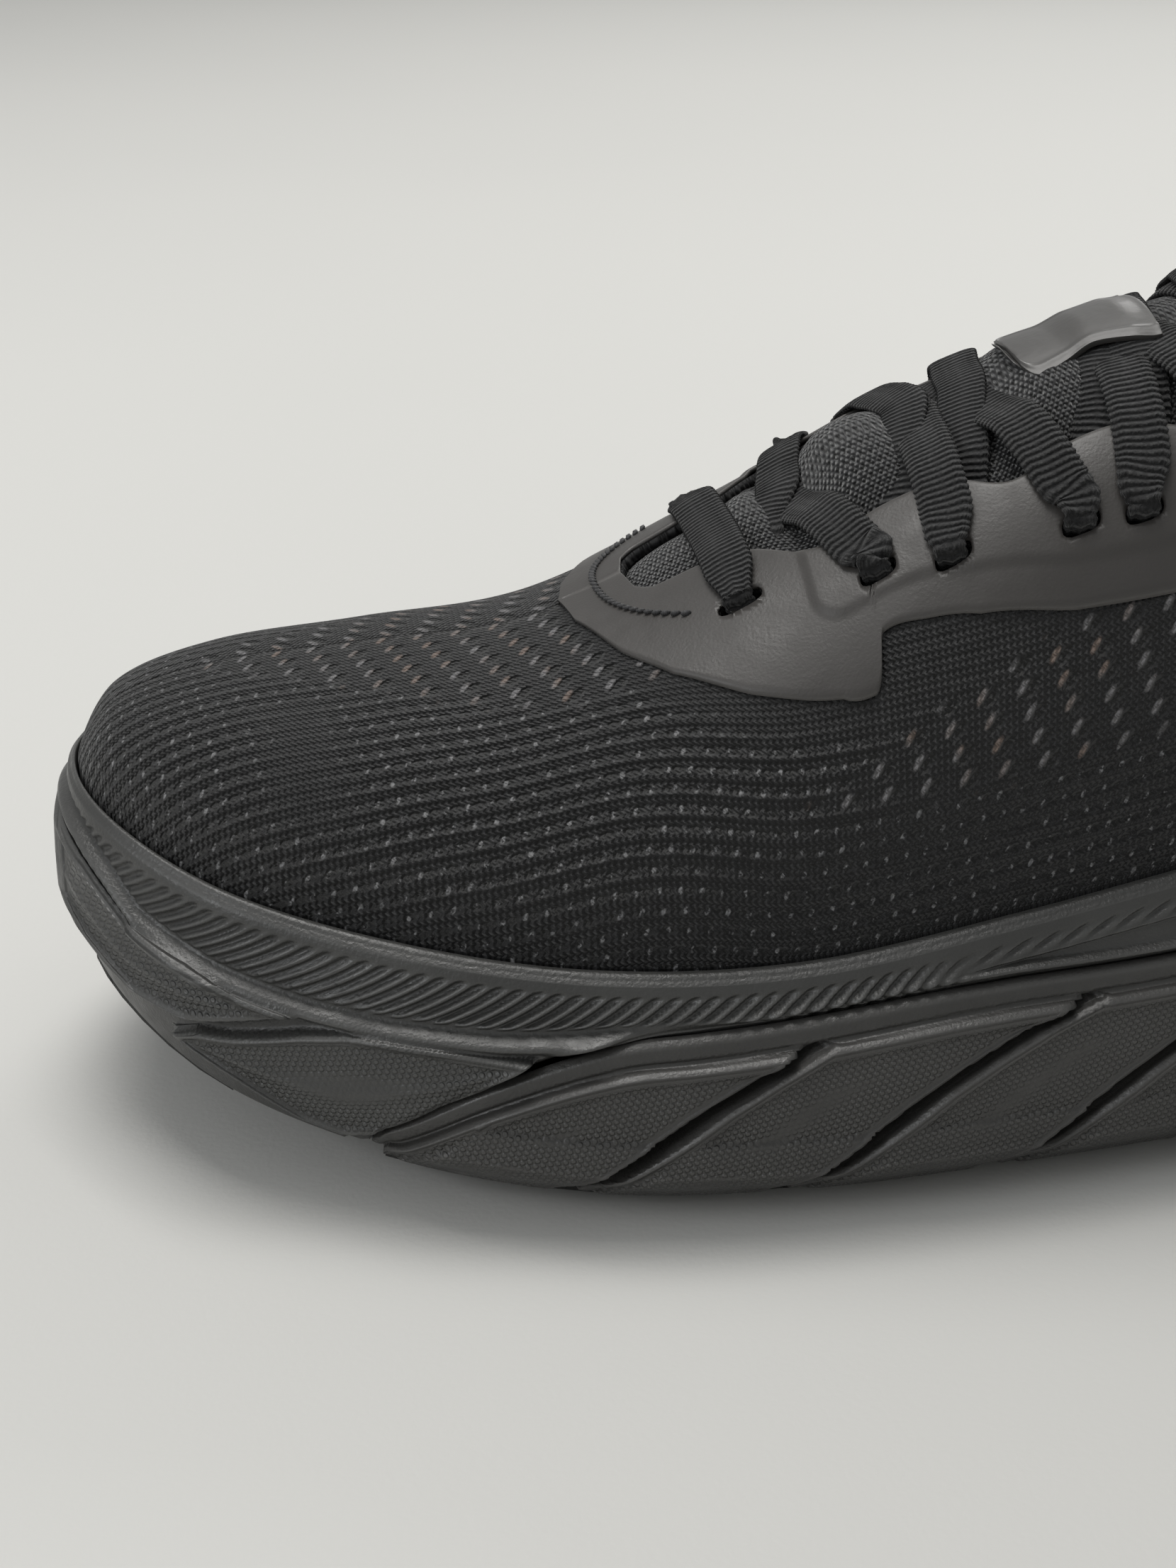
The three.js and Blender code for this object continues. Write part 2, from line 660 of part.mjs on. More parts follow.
function makeCollar() {
  const depth = KNIT_THICKNESS + GAP;
  const low = (c) => collarEdge(c) * COLLAR_SHARE;
  const foam = heelShell(8, low, collarEdge, depth, COLLAR_PADDING, 5);
  addPiece('collar_foam', foam, LINING);
  const lining = heelShell(8, low, collarEdge, depth + COLLAR_PADDING + GAP, LINING_THICKNESS, 5);
  addPiece('collar_lining', lining, LINING);
}

function makeHeelFilm() {
  const lower = () => 0.06;
  const upper = (c) => 0.1 + collarEdge(c) * 0.72 * THREE.MathUtils.smoothstep(c, 10.5, 12.7);
  const geometry = heelShell(10.5, lower, upper, -FILM_LIFT - OVERLAY_THICKNESS,
    OVERLAY_THICKNESS, 4);
  addPiece('heel_film', geometry, FILM);
}

// Loop of webbing standing on the back of the collar.
function makePullTab() {
  const half = PULL_TAB_DEPTH / 2;
  const outline = new THREE.Shape();
  outline.absarc(0, 0, half, Math.PI, 2 * Math.PI, false);
  outline.absarc(0, PULL_TAB_HEIGHT - 2 * half, half, 0, Math.PI, false);
  const hole = new THREE.Path();
  const inner = half - PULL_TAB_WEB;
  hole.absarc(0, 0, inner, Math.PI, 2 * Math.PI, false);
  hole.absarc(0, PULL_TAB_HEIGHT - 2 * half, inner, 0, Math.PI, false);
  outline.holes.push(hole);
  const extrusion = new THREE.ExtrudeGeometry(outline,
    { depth: PULL_TAB_WIDTH, bevelEnabled: false, curveSegments: 8 });
  extrusion.translate(0, 0, -PULL_TAB_WIDTH / 2);
  extrusion.rotateX(QUARTER);
  const edge = readCurve(TOPLINE, LAST);
  const inside = S(LAST, edge, KNIT_THICKNESS + GAP + COLLAR_PADDING);
  const outside = S(LAST, edge, 0);
  const seat = inside.add(outside).multiplyScalar(0.5);
  const mesh = addPiece('heel_pull_tab', extrusion, WEBBING);
  mesh.position.set(seat.x, seat.y, outside.z + GAP + half);
}

// ---------- tongue ----------

const LACE_UNDER = KNIT_THICKNESS + FILM_LIFT + TAPE_THICKNESS + 1.5 * GAP;
const TONGUE_DEPTH = LACE_UNDER + LACE_THICKNESS + 4 * GAP;

// How far the tongue's middle rises in the throat: station, distance.
const TONGUE_SWELL = [
  [4.62, 1.5], [5.1, 2.4], [5.6, 4], [6, 3.9], [6.6, 4.4], [7.2, 2], [8.75, 2],
];
const TONGUE_START = 4.62;
const TONGUE_LAP = 0.2;          // angle that each edge of the tongue lies under the throat
const THROAT_END = 7.1;          // station where the tongue starts to narrow to the throat

function tongueHalfWidth(c) {
  const under = readCurve(TOPLINE, Math.min(c, THROAT_END)) + TONGUE_LAP;
  return under - TONGUE_LAP * THREE.MathUtils.smoothstep(c, THROAT_END, 8.6);
}

// The tongue's outer face rises between the two sides of the throat.
function tongueGrid(rows, extra) {
  return rows.map((c) => {
    const half = tongueHalfWidth(c);
    const throat = readCurve(TOPLINE, Math.min(c, THROAT_END));
    return range(-half, half, 10).map((q) => {
      const share = Math.min(Math.abs(q) / Math.max(throat, 0.05), 1);
      const swell = readCurve(TONGUE_SWELL, c) * Math.cos(QUARTER * share) ** 2;
      return S(c, q, TONGUE_DEPTH - swell + extra);
    });
  });
}

function makeTongue() {
  const pitch = S(FOLD_STATION + 0.1, 0).distanceTo(S(FOLD_STATION - 0.1, 0)) / 0.2;
  const halfGap = FOLD_GAP / 2 / pitch;
  const baseRows = range(TONGUE_START, FOLD_STATION - halfGap, 12);
  const topRows = range(FOLD_STATION + halfGap, TONGUE_END, 5);
  addPiece('tongue_base',
    slabGeometry(tongueGrid(baseRows, 0), tongueGrid(baseRows, TONGUE_THICKNESS)), LINING);
  addPiece('tongue_top',
    slabGeometry(tongueGrid(topRows, 0), tongueGrid(topRows, TONGUE_THICKNESS)), LINING);
}

// ---------- laces ----------

// Ribbon through stops of { at, normal, width, thick }, each ring square to the path.
function ribbon(stops) {
  const skin = new Skin();
  const loops = stops.map((stop, i) => {
    const before = stops[Math.max(i - 1, 0)].at;
    const after = stops[Math.min(i + 1, stops.length - 1)].at;
    const along = after.clone().sub(before).normalize();
    const across = along.clone().cross(stop.normal).normalize();
    const up = across.clone().cross(along).normalize();
    const w = stop.width / 2;
    const t = stop.thick / 2;
    const corner = (a, b) => stop.at.clone().addScaledVector(across, a).addScaledVector(up, b);
    return [corner(-w, -t), corner(w, -t), corner(w, t), corner(-w, t)];
  });
  skin.tube(loops, true);
  return skin.geometry();
}

const LACE_ABOVE = -(FILM_LIFT + OVERLAY_THICKNESS + GAP + LACE_THICKNESS / 2);
const LACE_BELOW = LACE_UNDER + LACE_THICKNESS / 2;
const OVER_LIFT = 0.8 * LENGTH_SCALE; // clears the bend of the film between the lace's stops
const BAR_LIFT = 0.6;            // of the straight bar's ends over the lace's own level

function surfaceStop(c, q, depth, face, width = LACE_WIDTH) {
  return { at: S(c, q, depth), normal: normalAt(c, q).multiplyScalar(face), width,
    thick: LACE_THICKNESS };
}

// The throat's edge at its narrowest over the lace's own width.
function throatEdge(c) {
  return Math.min(...[-0.15, -0.07, 0, 0.07, 0.15].map((step) => readCurve(TOPLINE, c + step)));
}

// The lace from under one eyelet, out below the throat's edge and over the tongue.
function underRun(side, from, run, face) {
  const [c0, q0] = from;
  const edge = throatEdge(c0 + run * 0.2);
  const stops = [[q0 - 0.06, LACE_BELOW + 0.15], [(q0 + edge) / 2, LACE_BELOW + 0.1],
    [edge, LACE_BELOW], [edge * 0.75, LACE_BELOW - 0.7], [edge * 0.4, 0]];
  return stops.map(([q, depth], i) => surfaceStop(c0 + run * 0.08 * (i + 1), side * q, depth, face));
}

// The lace over the throat's edge and along the film towards the next eyelet.
function overRun(side, to, run, face) {
  const [c1, q1] = to;
  const edge = throatEdge(c1 - run * 0.2);
  const over = LACE_ABOVE - OVER_LIFT;
  const stops = [[edge * 0.2, -1.2], [edge * 0.6, -2.2], [edge, over], [(q1 + edge) / 2, over]];
  return stops.map(([q, depth], i) => surfaceStop(c1 - run * 0.1 * (4 - i), side * q, depth, face));
}

// The pinched stretch of lace inside an eyelet, from the outside in.
function throughEyelet(side, [c, q], face) {
  const normal = normalAt(c, side * q);
  const along = S(c, side * (q + 0.05)).sub(S(c, side * (q - 0.05))).normalize();
  const pinch = (depth, slope) => ({
    at: S(c, side * q).addScaledVector(normal, -depth).addScaledVector(along, slope),
    normal: along.clone().multiplyScalar(face), width: LACE_PINCH, thick: LACE_THICKNESS });
  return [pinch(LACE_ABOVE - 1, -0.6), pinch(-1, 0), pinch(KNIT_THICKNESS, 0),
    pinch(LACE_BELOW + 0.4, -0.3)];
}

// Half the lace, from the first eyelet up through the others to the knot. Its face turns
// over each time it goes through an eyelet.
function laceHalf(firstSide) {
  let side = firstSide;
  let face = 1;
  const stops = [];
  EYELETS.forEach((eyelet, i) => {
    stops.push(...throughEyelet(side, eyelet, face));
    face = -face;
    const next = EYELETS[i + 1];
    if (next) {
      const run = next[0] - eyelet[0];
      stops.push(...underRun(side, eyelet, run, face), ...overRun(-side, next, run, face));
      side = -side;
    }
  });
  stops.push(...underRun(side, EYELETS[EYELETS.length - 1], 0.3, face));
  return stops;
}

// The straight bar of lace over the first pair of eyelets.
function laceBar() {
  const [c, q] = EYELETS[0];
  const edge = readCurve(TOPLINE, c);
  return [-q, -edge - 0.08, -edge, -edge * 0.4, edge * 0.4, edge, edge + 0.08, q].map((at) => {
    const depth = Math.abs(at) > edge - 0.01 ? LACE_ABOVE - BAR_LIFT : LACE_ABOVE + BAR_LIFT;
    return surfaceStop(c, at, depth, 1, Math.abs(at) === q ? LACE_PINCH : LACE_WIDTH);
  });
}

// The knot, on the instep just above the last eyelets.
const KNOT_STATION = 7.5;
const KNOT_HALF = new THREE.Vector3(6, 8, 4);
const KNOT_LIFT = 2.2;           // of its centre over the instep line

function knotCentre() {
  return S(KNOT_STATION, 0).addScaledVector(normalAt(KNOT_STATION, 0), KNOT_LIFT);
}

function makeKnot() {
  const knot = new THREE.SphereGeometry(1, 12, 8);
  knot.deleteAttribute('uv');
  knot.deleteAttribute('normal');
  const mesh = addPiece('lace_knot', mergeVertices(knot), WEBBING);
  mesh.scale.copy(KNOT_HALF);
  mesh.position.copy(knotCentre());
}

// Routes of the bow, from the knot outwards, as offsets from the knot's centre.
const LOOP_ROUTE = [
  [4.2, 8.5, 1.5], [8, 17, 3.5], [13.5, 28, 0], [19, 39, -11], [23.5, 46, -24], [25.5, 47.5, -33],
  [26.5, 45, -37.5], [27.5, 43, -33], [25.5, 41, -23], [21, 35.5, -11], [15, 26, -3.8],
  [9, 16.5, -1.4], [4.4, 8.8, -0.7],
];
const END_ROUTE = [
  [-4.5, 8.5, 0.5], [-3.5, 16, 1.5], [0, 26, -3], [4.5, 35, -13], [8, 40, -25], [11, 42.5, -37],
  [14, 44, -47],
];
const AGLET_WAY = new THREE.Vector3(0.42, 0.1, -0.9).normalize();
const AGLET_GAP = 1.1;           // clears the lace's end, which meets it at a slant

function routePoints(route, side) {
  const centre = knotCentre();
  return route.map(([x, y, z]) => new THREE.Vector3(x, side * y, z).add(centre));
}

// Ribbon along a smooth curve through a route, its face held square to a point's direction.
function freeRibbon(route, side, steps) {
  const curve = new THREE.CatmullRomCurve3(routePoints(route, side));
  const stops = curve.getSpacedPoints(steps).map((at, i) => {
    const along = curve.getTangentAt(i / steps);
    const normal = new THREE.Vector3(1, 0, 0).cross(along).normalize();
    return { at, normal, width: LACE_WIDTH, thick: LACE_THICKNESS };
  });
  return ribbon(stops);
}

function makeBow(label, side) {
  addPiece(`lace_loop_${label}`, freeRibbon(LOOP_ROUTE, side, 28), WEBBING);
  addPiece(`lace_end_${label}`, freeRibbon(END_ROUTE, side, 16), WEBBING);
  const aglet = new THREE.CylinderGeometry(AGLET_RADIUS, AGLET_RADIUS, AGLET_LENGTH, 12);
  const way = AGLET_WAY.clone();
  way.y *= side;
  const mesh = addPiece(`aglet_${label}`, aglet, PLASTIC);
  const tip = routePoints(END_ROUTE, side).pop();
  mesh.position.copy(tip).addScaledVector(way, AGLET_LENGTH / 2 + AGLET_GAP);
  mesh.quaternion.setFromUnitVectors(new THREE.Vector3(0, -1, 0), way);
}

const KEEPER_STATIONS = [6.44, 7.12];
const KEEPER_BEND = 45;          // radius across the tongue

// Moulded strip lying along the middle of the tongue, over the lace.
function makeKeeper() {
  const steps = 8;
  const rows = range(...KEEPER_STATIONS, steps);
  const half = KEEPER_WIDTH / 2;
  const grid = (depth) => rows.map((c, i) => {
    const arch = KEEPER_RISE + KEEPER_ARCH * Math.sin((Math.PI * i) / steps);
    const crown = S(c, 0, depth - arch);
    return range(-half, half, 6).map((y) => {
      const droop = (y * y) / (2 * KEEPER_BEND);
      return new THREE.Vector3(crown.x, crown.y + y, crown.z - droop);
    });
  });
  addPiece('tongue_keeper', slabGeometry(grid(0), grid(KEEPER_THICKNESS)), KEEPER);
}

const SLOT_SLACK = 0.6;          // more room in an eyelet where the lace turns down
const CUTTER_DEPTH = 12;         // reaches through the film, the knit and the tape

// A slot through every layer at each eyelet.
function eyeletCutters(side) {
  const high = LACE_THICKNESS + 2 * EYELET_ROOM + SLOT_SLACK;
  const wide = LACE_PINCH + 2 * EYELET_ROOM;
  return EYELETS.map(([c, q]) => {
    const box = new THREE.BoxGeometry(high, wide, CUTTER_DEPTH);
    const normal = normalAt(c, side * q);
    const girth = S(c, side * (q + 0.05)).sub(S(c, side * (q - 0.05))).normalize();
    const across = normal.clone().cross(girth).normalize();
    const up = normal.clone().cross(across);
    const frame = new THREE.Matrix4().makeBasis(up, across, normal);
    frame.setPosition(S(c, side * q));
    box.applyMatrix4(frame);
    box.deleteAttribute('normal');
    box.deleteAttribute('uv');
    return closeBox(box);
  });
}

// A box's 24 corners merged to 8.
function closeBox(box) {
  const skin = new Skin();
  const position = box.getAttribute('position');
  const index = box.getIndex();
  const corner = (i) => new THREE.Vector3().fromBufferAttribute(position, index.getX(i));
  for (let i = 0; i < index.count; i += 3) skin.face(corner(i), corner(i + 1), corner(i + 2));
  return skin.geometry();
}

const cuttersLateral = eyeletCutters(LATERAL);
const cuttersMedial = eyeletCutters(MEDIAL);

makeCarrier();
makeBlocks();
PADS.forEach(makePad);
makeBed();
makeKnit([...cuttersLateral, ...cuttersMedial]);
makeEyestay([...cuttersLateral, ...cuttersMedial]);
makeTape('eyelet_tape_lateral', LATERAL, cuttersLateral);
makeTape('eyelet_tape_medial', MEDIAL, cuttersMedial);
makeToePuff();
makeHeelCounter();
makeCollar();
makeHeelFilm();
makePullTab();
makeTongue();
makeKeeper();
makeKnot();
makeBow('lateral', LATERAL);
makeBow('medial', MEDIAL);
addPiece('lace', joinAll([ribbon(laceHalf(LATERAL)), ribbon(laceHalf(MEDIAL)), ribbon(laceBar())]),
  WEBBING);

// The origin is the middle of the sole's footprint, on the ground.
const footprint = new THREE.Box3().setFromObject(shoe);
const middle = footprint.getCenter(new THREE.Vector3());
shoe.position.set(-middle.x, -middle.y, -footprint.min.z);

export default shoe;
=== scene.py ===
import math

import bmesh
import bpy
import numpy as np
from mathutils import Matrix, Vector


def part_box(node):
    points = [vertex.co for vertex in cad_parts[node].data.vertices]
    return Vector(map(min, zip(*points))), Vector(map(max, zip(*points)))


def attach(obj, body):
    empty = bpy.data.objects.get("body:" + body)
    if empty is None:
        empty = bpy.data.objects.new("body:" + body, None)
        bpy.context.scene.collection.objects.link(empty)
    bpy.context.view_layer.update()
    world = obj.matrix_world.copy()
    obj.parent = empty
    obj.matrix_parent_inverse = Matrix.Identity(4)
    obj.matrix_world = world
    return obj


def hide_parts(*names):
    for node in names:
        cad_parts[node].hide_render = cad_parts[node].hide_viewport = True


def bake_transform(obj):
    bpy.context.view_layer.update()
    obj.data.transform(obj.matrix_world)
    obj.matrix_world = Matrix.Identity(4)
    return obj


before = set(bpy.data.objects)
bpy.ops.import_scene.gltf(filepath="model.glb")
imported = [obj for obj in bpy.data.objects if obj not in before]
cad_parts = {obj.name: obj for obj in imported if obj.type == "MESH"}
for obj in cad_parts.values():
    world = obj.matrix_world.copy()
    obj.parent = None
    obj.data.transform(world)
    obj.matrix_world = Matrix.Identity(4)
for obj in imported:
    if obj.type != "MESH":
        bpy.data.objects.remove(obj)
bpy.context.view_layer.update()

# ---------------------------------------------------------------------------
# Camera, lights and floor.
# A close three-quarter look at the outer side of the forefoot, from slightly
# above, on a plain pale table under one large soft lamp.
# ---------------------------------------------------------------------------
look_at = Vector((-0.0725, -0.01825, 0.054))
turn, lift = math.radians(-8), math.radians(25)
back = Vector((math.sin(turn) * math.cos(lift), -math.cos(turn) * math.cos(lift), math.sin(lift)))
camera_data = bpy.data.cameras.new("camera")
camera_data.lens = 54.15
camera_data.sensor_width = 36
camera_data.clip_start = 0.01
camera = bpy.data.objects.new("camera", camera_data)
camera.location = look_at + back * 0.340
camera.rotation_euler = (-back).to_track_quat("-Z", "Y").to_euler()
bpy.context.scene.collection.objects.link(camera)
bpy.context.scene.camera = camera
bpy.context.scene.view_settings.view_transform = "Standard"


def soft_lamp(name, place, aim, size, power, colour):
    """A square lamp of that size, pointed at a place on the shoe."""
    lamp = bpy.data.lights.new(name, "AREA")
    lamp.shape = "SQUARE"
    lamp.size = size
    lamp.energy = power
    lamp.color = colour
    holder = bpy.data.objects.new(name, lamp)
    holder.location = place
    holder.rotation_euler = (Vector(aim) - Vector(place)).to_track_quat("-Z", "Y").to_euler()
    bpy.context.scene.collection.objects.link(holder)


soft_lamp("ceiling_lamp", (-0.25, 0.35, 1.5), (-0.03, 0.0, 0.05), 0.8, 16, (1.0, 0.985, 0.96))
soft_lamp("window", (-1.3, -0.5, 0.8), (-0.06, 0.0, 0.05), 0.6, 5.5, (0.96, 0.98, 1.0))
soft_lamp("back_window", (0.7, 1.3, 0.9), (0.0, 0.0, 0.06), 0.7, 6.0, (1.0, 0.99, 0.97))
world = bpy.data.worlds.new("room")
world.use_nodes = True
world.node_tree.nodes["Background"].inputs["Color"].default_value = (0.80, 0.81, 0.80, 1)
world.node_tree.nodes["Background"].inputs["Strength"].default_value = 0.50
bpy.context.scene.world = world


class Finish:
    """The nodes of one finish. A call such as f.add(a, b) makes one node, and takes
    numbers or other nodes' results."""

    def __init__(self, name, colour, rough, specular=0.5):
        self.material = bpy.data.materials.new(name)
        self.material.use_nodes = True
        self.tree = self.material.node_tree
        self.shader = self.tree.nodes["Principled BSDF"]
        self.shader.inputs["Base Color"].default_value = (*colour, 1)
        self.shader.inputs["Roughness"].default_value = rough
        self.shader.inputs["Specular IOR Level"].default_value = specular
        self.place = self.tree.nodes.new("ShaderNodeTexCoord").outputs["Object"]

    def node(self, kind, out=0, settings=(), **inputs):
        n = self.tree.nodes.new(kind)
        for key, value in dict(settings).items():
            setattr(n, key, value)
        for key, value in inputs.items():
            socket = n.inputs[int(key[1:])] if key[0] == "i" and key[1:].isdigit() else n.inputs[key]
            if isinstance(value, bpy.types.NodeSocket):
                self.tree.links.new(value, socket)
            else:
                socket.default_value = value
        return n.outputs[out]

    def math(self, kind, a, b=0.0, c=0.0):
        return self.node("ShaderNodeMath", settings={"operation": kind}, i0=a, i1=b, i2=c)

    def add(self, a, b):
        return self.math("ADD", a, b)

    def times(self, a, b):
        return self.math("MULTIPLY", a, b)

    def less(self, a, b):
        return self.math("SUBTRACT", a, b)

    def wave(self, along, pitch):
        """A smooth wave from 0 to 1, one crest to a pitch."""
        turns = self.times(along, 2 * math.pi / pitch)
        return self.add(self.times(self.math("SINE", turns), 0.5), 0.5)

    def ease(self, value, low, high, out_low=0.0, out_high=1.0):
        """A smooth step of the value between low and high."""
        return self.node("ShaderNodeMapRange", settings={"interpolation_type": "SMOOTHSTEP"},
                         i0=value, i1=low, i2=high, i3=out_low, i4=out_high)

    def noise(self, scale, detail=2.0, where=None):
        return self.node("ShaderNodeTexNoise", Vector=where or self.place, Scale=scale,
                         Detail=detail)

    def grain(self, stretch, scale, detail=2.0):
        """Noise drawn out along the axes by dividing each by a number."""
        squeezed = self.node("ShaderNodeMapping", Vector=self.place, Scale=stretch)
        return self.noise(scale, detail, squeezed)

    def sheet(self, name):
        """Across and along of a piece's own sheet of cloth, in millimetres."""
        uv = self.node("ShaderNodeUVMap", settings={"uv_map": name})
        split = self.tree.nodes.new("ShaderNodeSeparateXYZ")
        self.tree.links.new(uv, split.inputs[0])
        return split.outputs[0], split.outputs[1]

    def mark(self, name):
        """A number painted on the piece's points."""
        return self.node("ShaderNodeAttribute", 2, settings={"attribute_name": name})

    def mix(self, share, one, two):
        one = one if isinstance(one, bpy.types.NodeSocket) else (*one, 1)
        two = two if isinstance(two, bpy.types.NodeSocket) else (*two, 1)
        return self.node("ShaderNodeMix", 2, settings={"data_type": "RGBA"}, i0=share, i6=one,
                         i7=two)

    def dots(self, across, along, pitch_across, pitch_along, wide, long):
        """Staggered round marks, 1 in the middle of each and 0 between them."""
        row = self.math("FLOOR", self.times(across, 1 / pitch_across))
        shift = self.times(self.math("FLOORED_MODULO", row, 2.0), 0.5)
        u = self.less(self.math("FRACT", self.times(across, 1 / pitch_across)), 0.5)
        v = self.less(self.math("FRACT", self.add(self.times(along, 1 / pitch_along), shift)), 0.5)
        u = self.times(u, pitch_across / wide)
        v = self.times(v, pitch_along / long)
        reach = self.math("SQRT", self.add(self.times(u, u), self.times(v, v)))
        return self.ease(reach, 0.62, 0.3)

    def colour(self, value):
        self.tree.links.new(value, self.shader.inputs["Base Color"])

    def rough(self, value):
        self.tree.links.new(value, self.shader.inputs["Roughness"])

    def bump(self, height, depth, strength=1.0):
        """Raises the surface by the height, a number of about 0 to 1, times the depth."""
        result = self.node("ShaderNodeBump", Strength=strength, Distance=depth, Height=height)
        self.tree.links.new(result, self.shader.inputs["Normal"])

    def sheen(self, amount, rough):
        self.shader.inputs["Sheen Weight"].default_value = amount
        self.shader.inputs["Sheen Roughness"].default_value = rough


table_top = Finish("pale_table", (0.66, 0.655, 0.63), 0.62, 0.3)
table_top.colour(table_top.mix(table_top.noise(1.4, 3.0), (0.555, 0.555, 0.54), (0.61, 0.605, 0.585)))
table_top.bump(table_top.noise(900, 2.0), 0.00004)
bm = bmesh.new()
bmesh.ops.create_grid(bm, x_segments=2, y_segments=2, size=6.0)
floor_mesh = bpy.data.meshes.new("floor")
bm.to_mesh(floor_mesh)
bm.free()
floor = bpy.data.objects.new("floor", floor_mesh)
floor.data.materials.append(table_top.material)
bpy.context.scene.collection.objects.link(floor)

# ---------------------------------------------------------------------------
# The last, and the bow that lies on it.
# Everything above the sole is shaped on one last. Its sections run from the toe
# tip (station 0) to the back of the heel (station 13), for a 300 mm left shoe.
# ---------------------------------------------------------------------------
MM = 0.001
# x, outer y, inner y of the sole's widest line; z of the tread; z of the lip outside and
# inside; lip width; z of the foot bed; x, y, z of the instep line; squareness.
LAST = np.array([
    [-150, 8, 8, 24, 51, 51, 3.5, 42, -146.5, 8, 51, 2.3],
    [-145, -12, 27, 19, 49, 50, 4.5, 38, -140, 8, 60, 2.3],
    [-129, -32, 39, 11, 45, 47, 6, 32, -124, 8, 65, 2.3],
    [-104, -45.5, 47.5, 4.5, 41, 43, 7, 29, -102, 7, 67.5, 2.2],
    [-76, -53.5, 52, 1, 38.5, 41, 7.5, 27, -76, 6, 71, 2.2],
    [-46, -55.5, 51, 0, 38.5, 42, 8, 27, -46, 5, 86, 2.3],
    [-14, -53.5, 46, 0, 43, 46, 8, 28, -14, 3, 104.5, 2.4],
    [18, -50, 41, 0, 48, 51, 8, 30, 18, 1, 116.5, 2.5],
    [50, -48.5, 40, 0, 53, 55, 8, 31, 47, 0, 135.5, 2.6],
    [82, -48, 42.5, 0, 57, 58, 8, 32, 76, -1, 157, 2.7],
    [110, -45, 42.5, 1, 60, 60, 8, 33, 105, -1, 172, 2.9],
    [134, -34, 33, 6, 63, 63, 7, 35, 129, -1, 172, 3],
    [146, -18, 17, 11, 65, 65, 6.5, 37, 140, -1, 172, 3],
    [150, -1, -1, 14, 66, 66, 6, 38, 144, -1, 172, 3],
], float)
Y_CENTRE = 1.75
HEEL = len(LAST) - 1
QUARTER = math.pi / 2
# Edge of the knit round the throat and the collar: station, angle from the instep line.
THROAT = [(4.42, 0), (4.45, .1), (4.52, .15), (4.75, .17), (4.95, .22), (5.2, .37), (5.5, .36),
          (5.75, .4), (6, .52), (6.3, .47), (6.55, .48), (6.8, .57), (7.1, .5), (7.4, .5),
          (7.7, .6), (8, .78), (8.5, 1.05), (9, 1.22), (9.5, 1.28), (10, 1.27), (11, 1.19),
          (12, 1.1), (13, 1.06)]
# Eyelets on each side: station, angle from the instep line.
EYELETS = [(4.85, .42), (5.42, .58), (5.72, .66), (6.25, .74), (6.52, .77), (7.02, .74),
           (7.3, .76)]
OUTER, INNER = -1, 1             # the shoe's two sides


def spline(a, b, c, d, t):
    return 0.5 * (2 * b + (c - a) * t + (2 * a - 5 * b + 4 * c - d) * t * t
                  + (3 * b - a - 3 * c + d) * t ** 3)


def side_rows(side):
    """The last's rows for one side, with the other side's next row past each end."""
    def pick(one_side):
        rows = LAST[:, [0, 1, 3, 4, 6, 7, 8, 9, 10, 11]].copy()
        if one_side > 0:
            rows[:, [1, 3]] = LAST[:, [2, 5]]
        rows[:, [1, 7]] += Y_CENTRE
        return rows
    mine, other = pick(side), pick(-side)
    return np.vstack([other[1], mine, other[-2]])


LAST_ROWS = np.stack([side_rows(OUTER), side_rows(INNER)])


def section(c, side):
    """x, y, tread, lip z, lip width, bed, top x, top y, top z, squareness at each station."""
    c, side = np.broadcast_arrays(np.asarray(c, float), side)
    i = np.clip(np.floor(c), 0, HEEL - 1).astype(int)
    s = (side > 0).astype(int)
    t = (c - i)[..., None]
    rows = [LAST_ROWS[s, i + k] for k in range(4)]
    return np.moveaxis(spline(*rows, t), -1, 0)


def plan_point(c, side, inset, z):
    """Points on the sole's widest line moved inwards, at a height, in millimetres."""
    c, side, inset, z = np.broadcast_arrays(np.asarray(c, float), side, inset, z)
    x, y = section(c, side)[:2]
    xa, ya = section(np.maximum(c - .001, 0), side)[:2]
    xb, yb = section(np.minimum(c + .001, HEEL), side)[:2]
    tx, ty = xb - xa, yb - ya
    tx, ty = np.where(c < .001, 0, tx), np.where(c < .001, side, ty)
    tx, ty = np.where(c > HEEL - .001, 0, tx), np.where(c > HEEL - .001, -side, ty)
    size = np.hypot(tx, ty)
    return np.stack([x + ty / size * side * inset, y - tx / size * side * inset,
                     np.asarray(z, float)], -1)


def on_last(c, q, depth=0.0):
    """Points of the upper: station, angle from the instep line (negative outside), depth."""
    c, q, depth = np.broadcast_arrays(np.asarray(c, float), q, depth)
    side = np.where(q < 0, OUTER, INNER)
    part = section(c, side)
    foot = plan_point(c, side, part[4] + depth, part[3])
    a = section(np.maximum(c - .05, 0), OUTER)
    b = section(np.minimum(c + .05, HEEL), OUTER)
    nx, nz = a[8] - b[8], b[6] - a[6]
    size = np.hypot(nx, nz)
    crown = np.stack([part[6] - nx / size * depth, part[7], part[8] - nz / size * depth], -1)
    turned = QUARTER - np.minimum(np.abs(q), QUARTER)
    out = np.maximum(np.cos(turned), 0) ** (2 / part[9])
    up = np.maximum(np.sin(turned), 0) ** (2 / part[9])
    xy = crown[..., :2] + (foot[..., :2] - crown[..., :2]) * out[..., None]
    z = foot[..., 2] + np.maximum(crown[..., 2] - foot[..., 2], 0) * up
    return np.concatenate([xy, z[..., None]], -1)


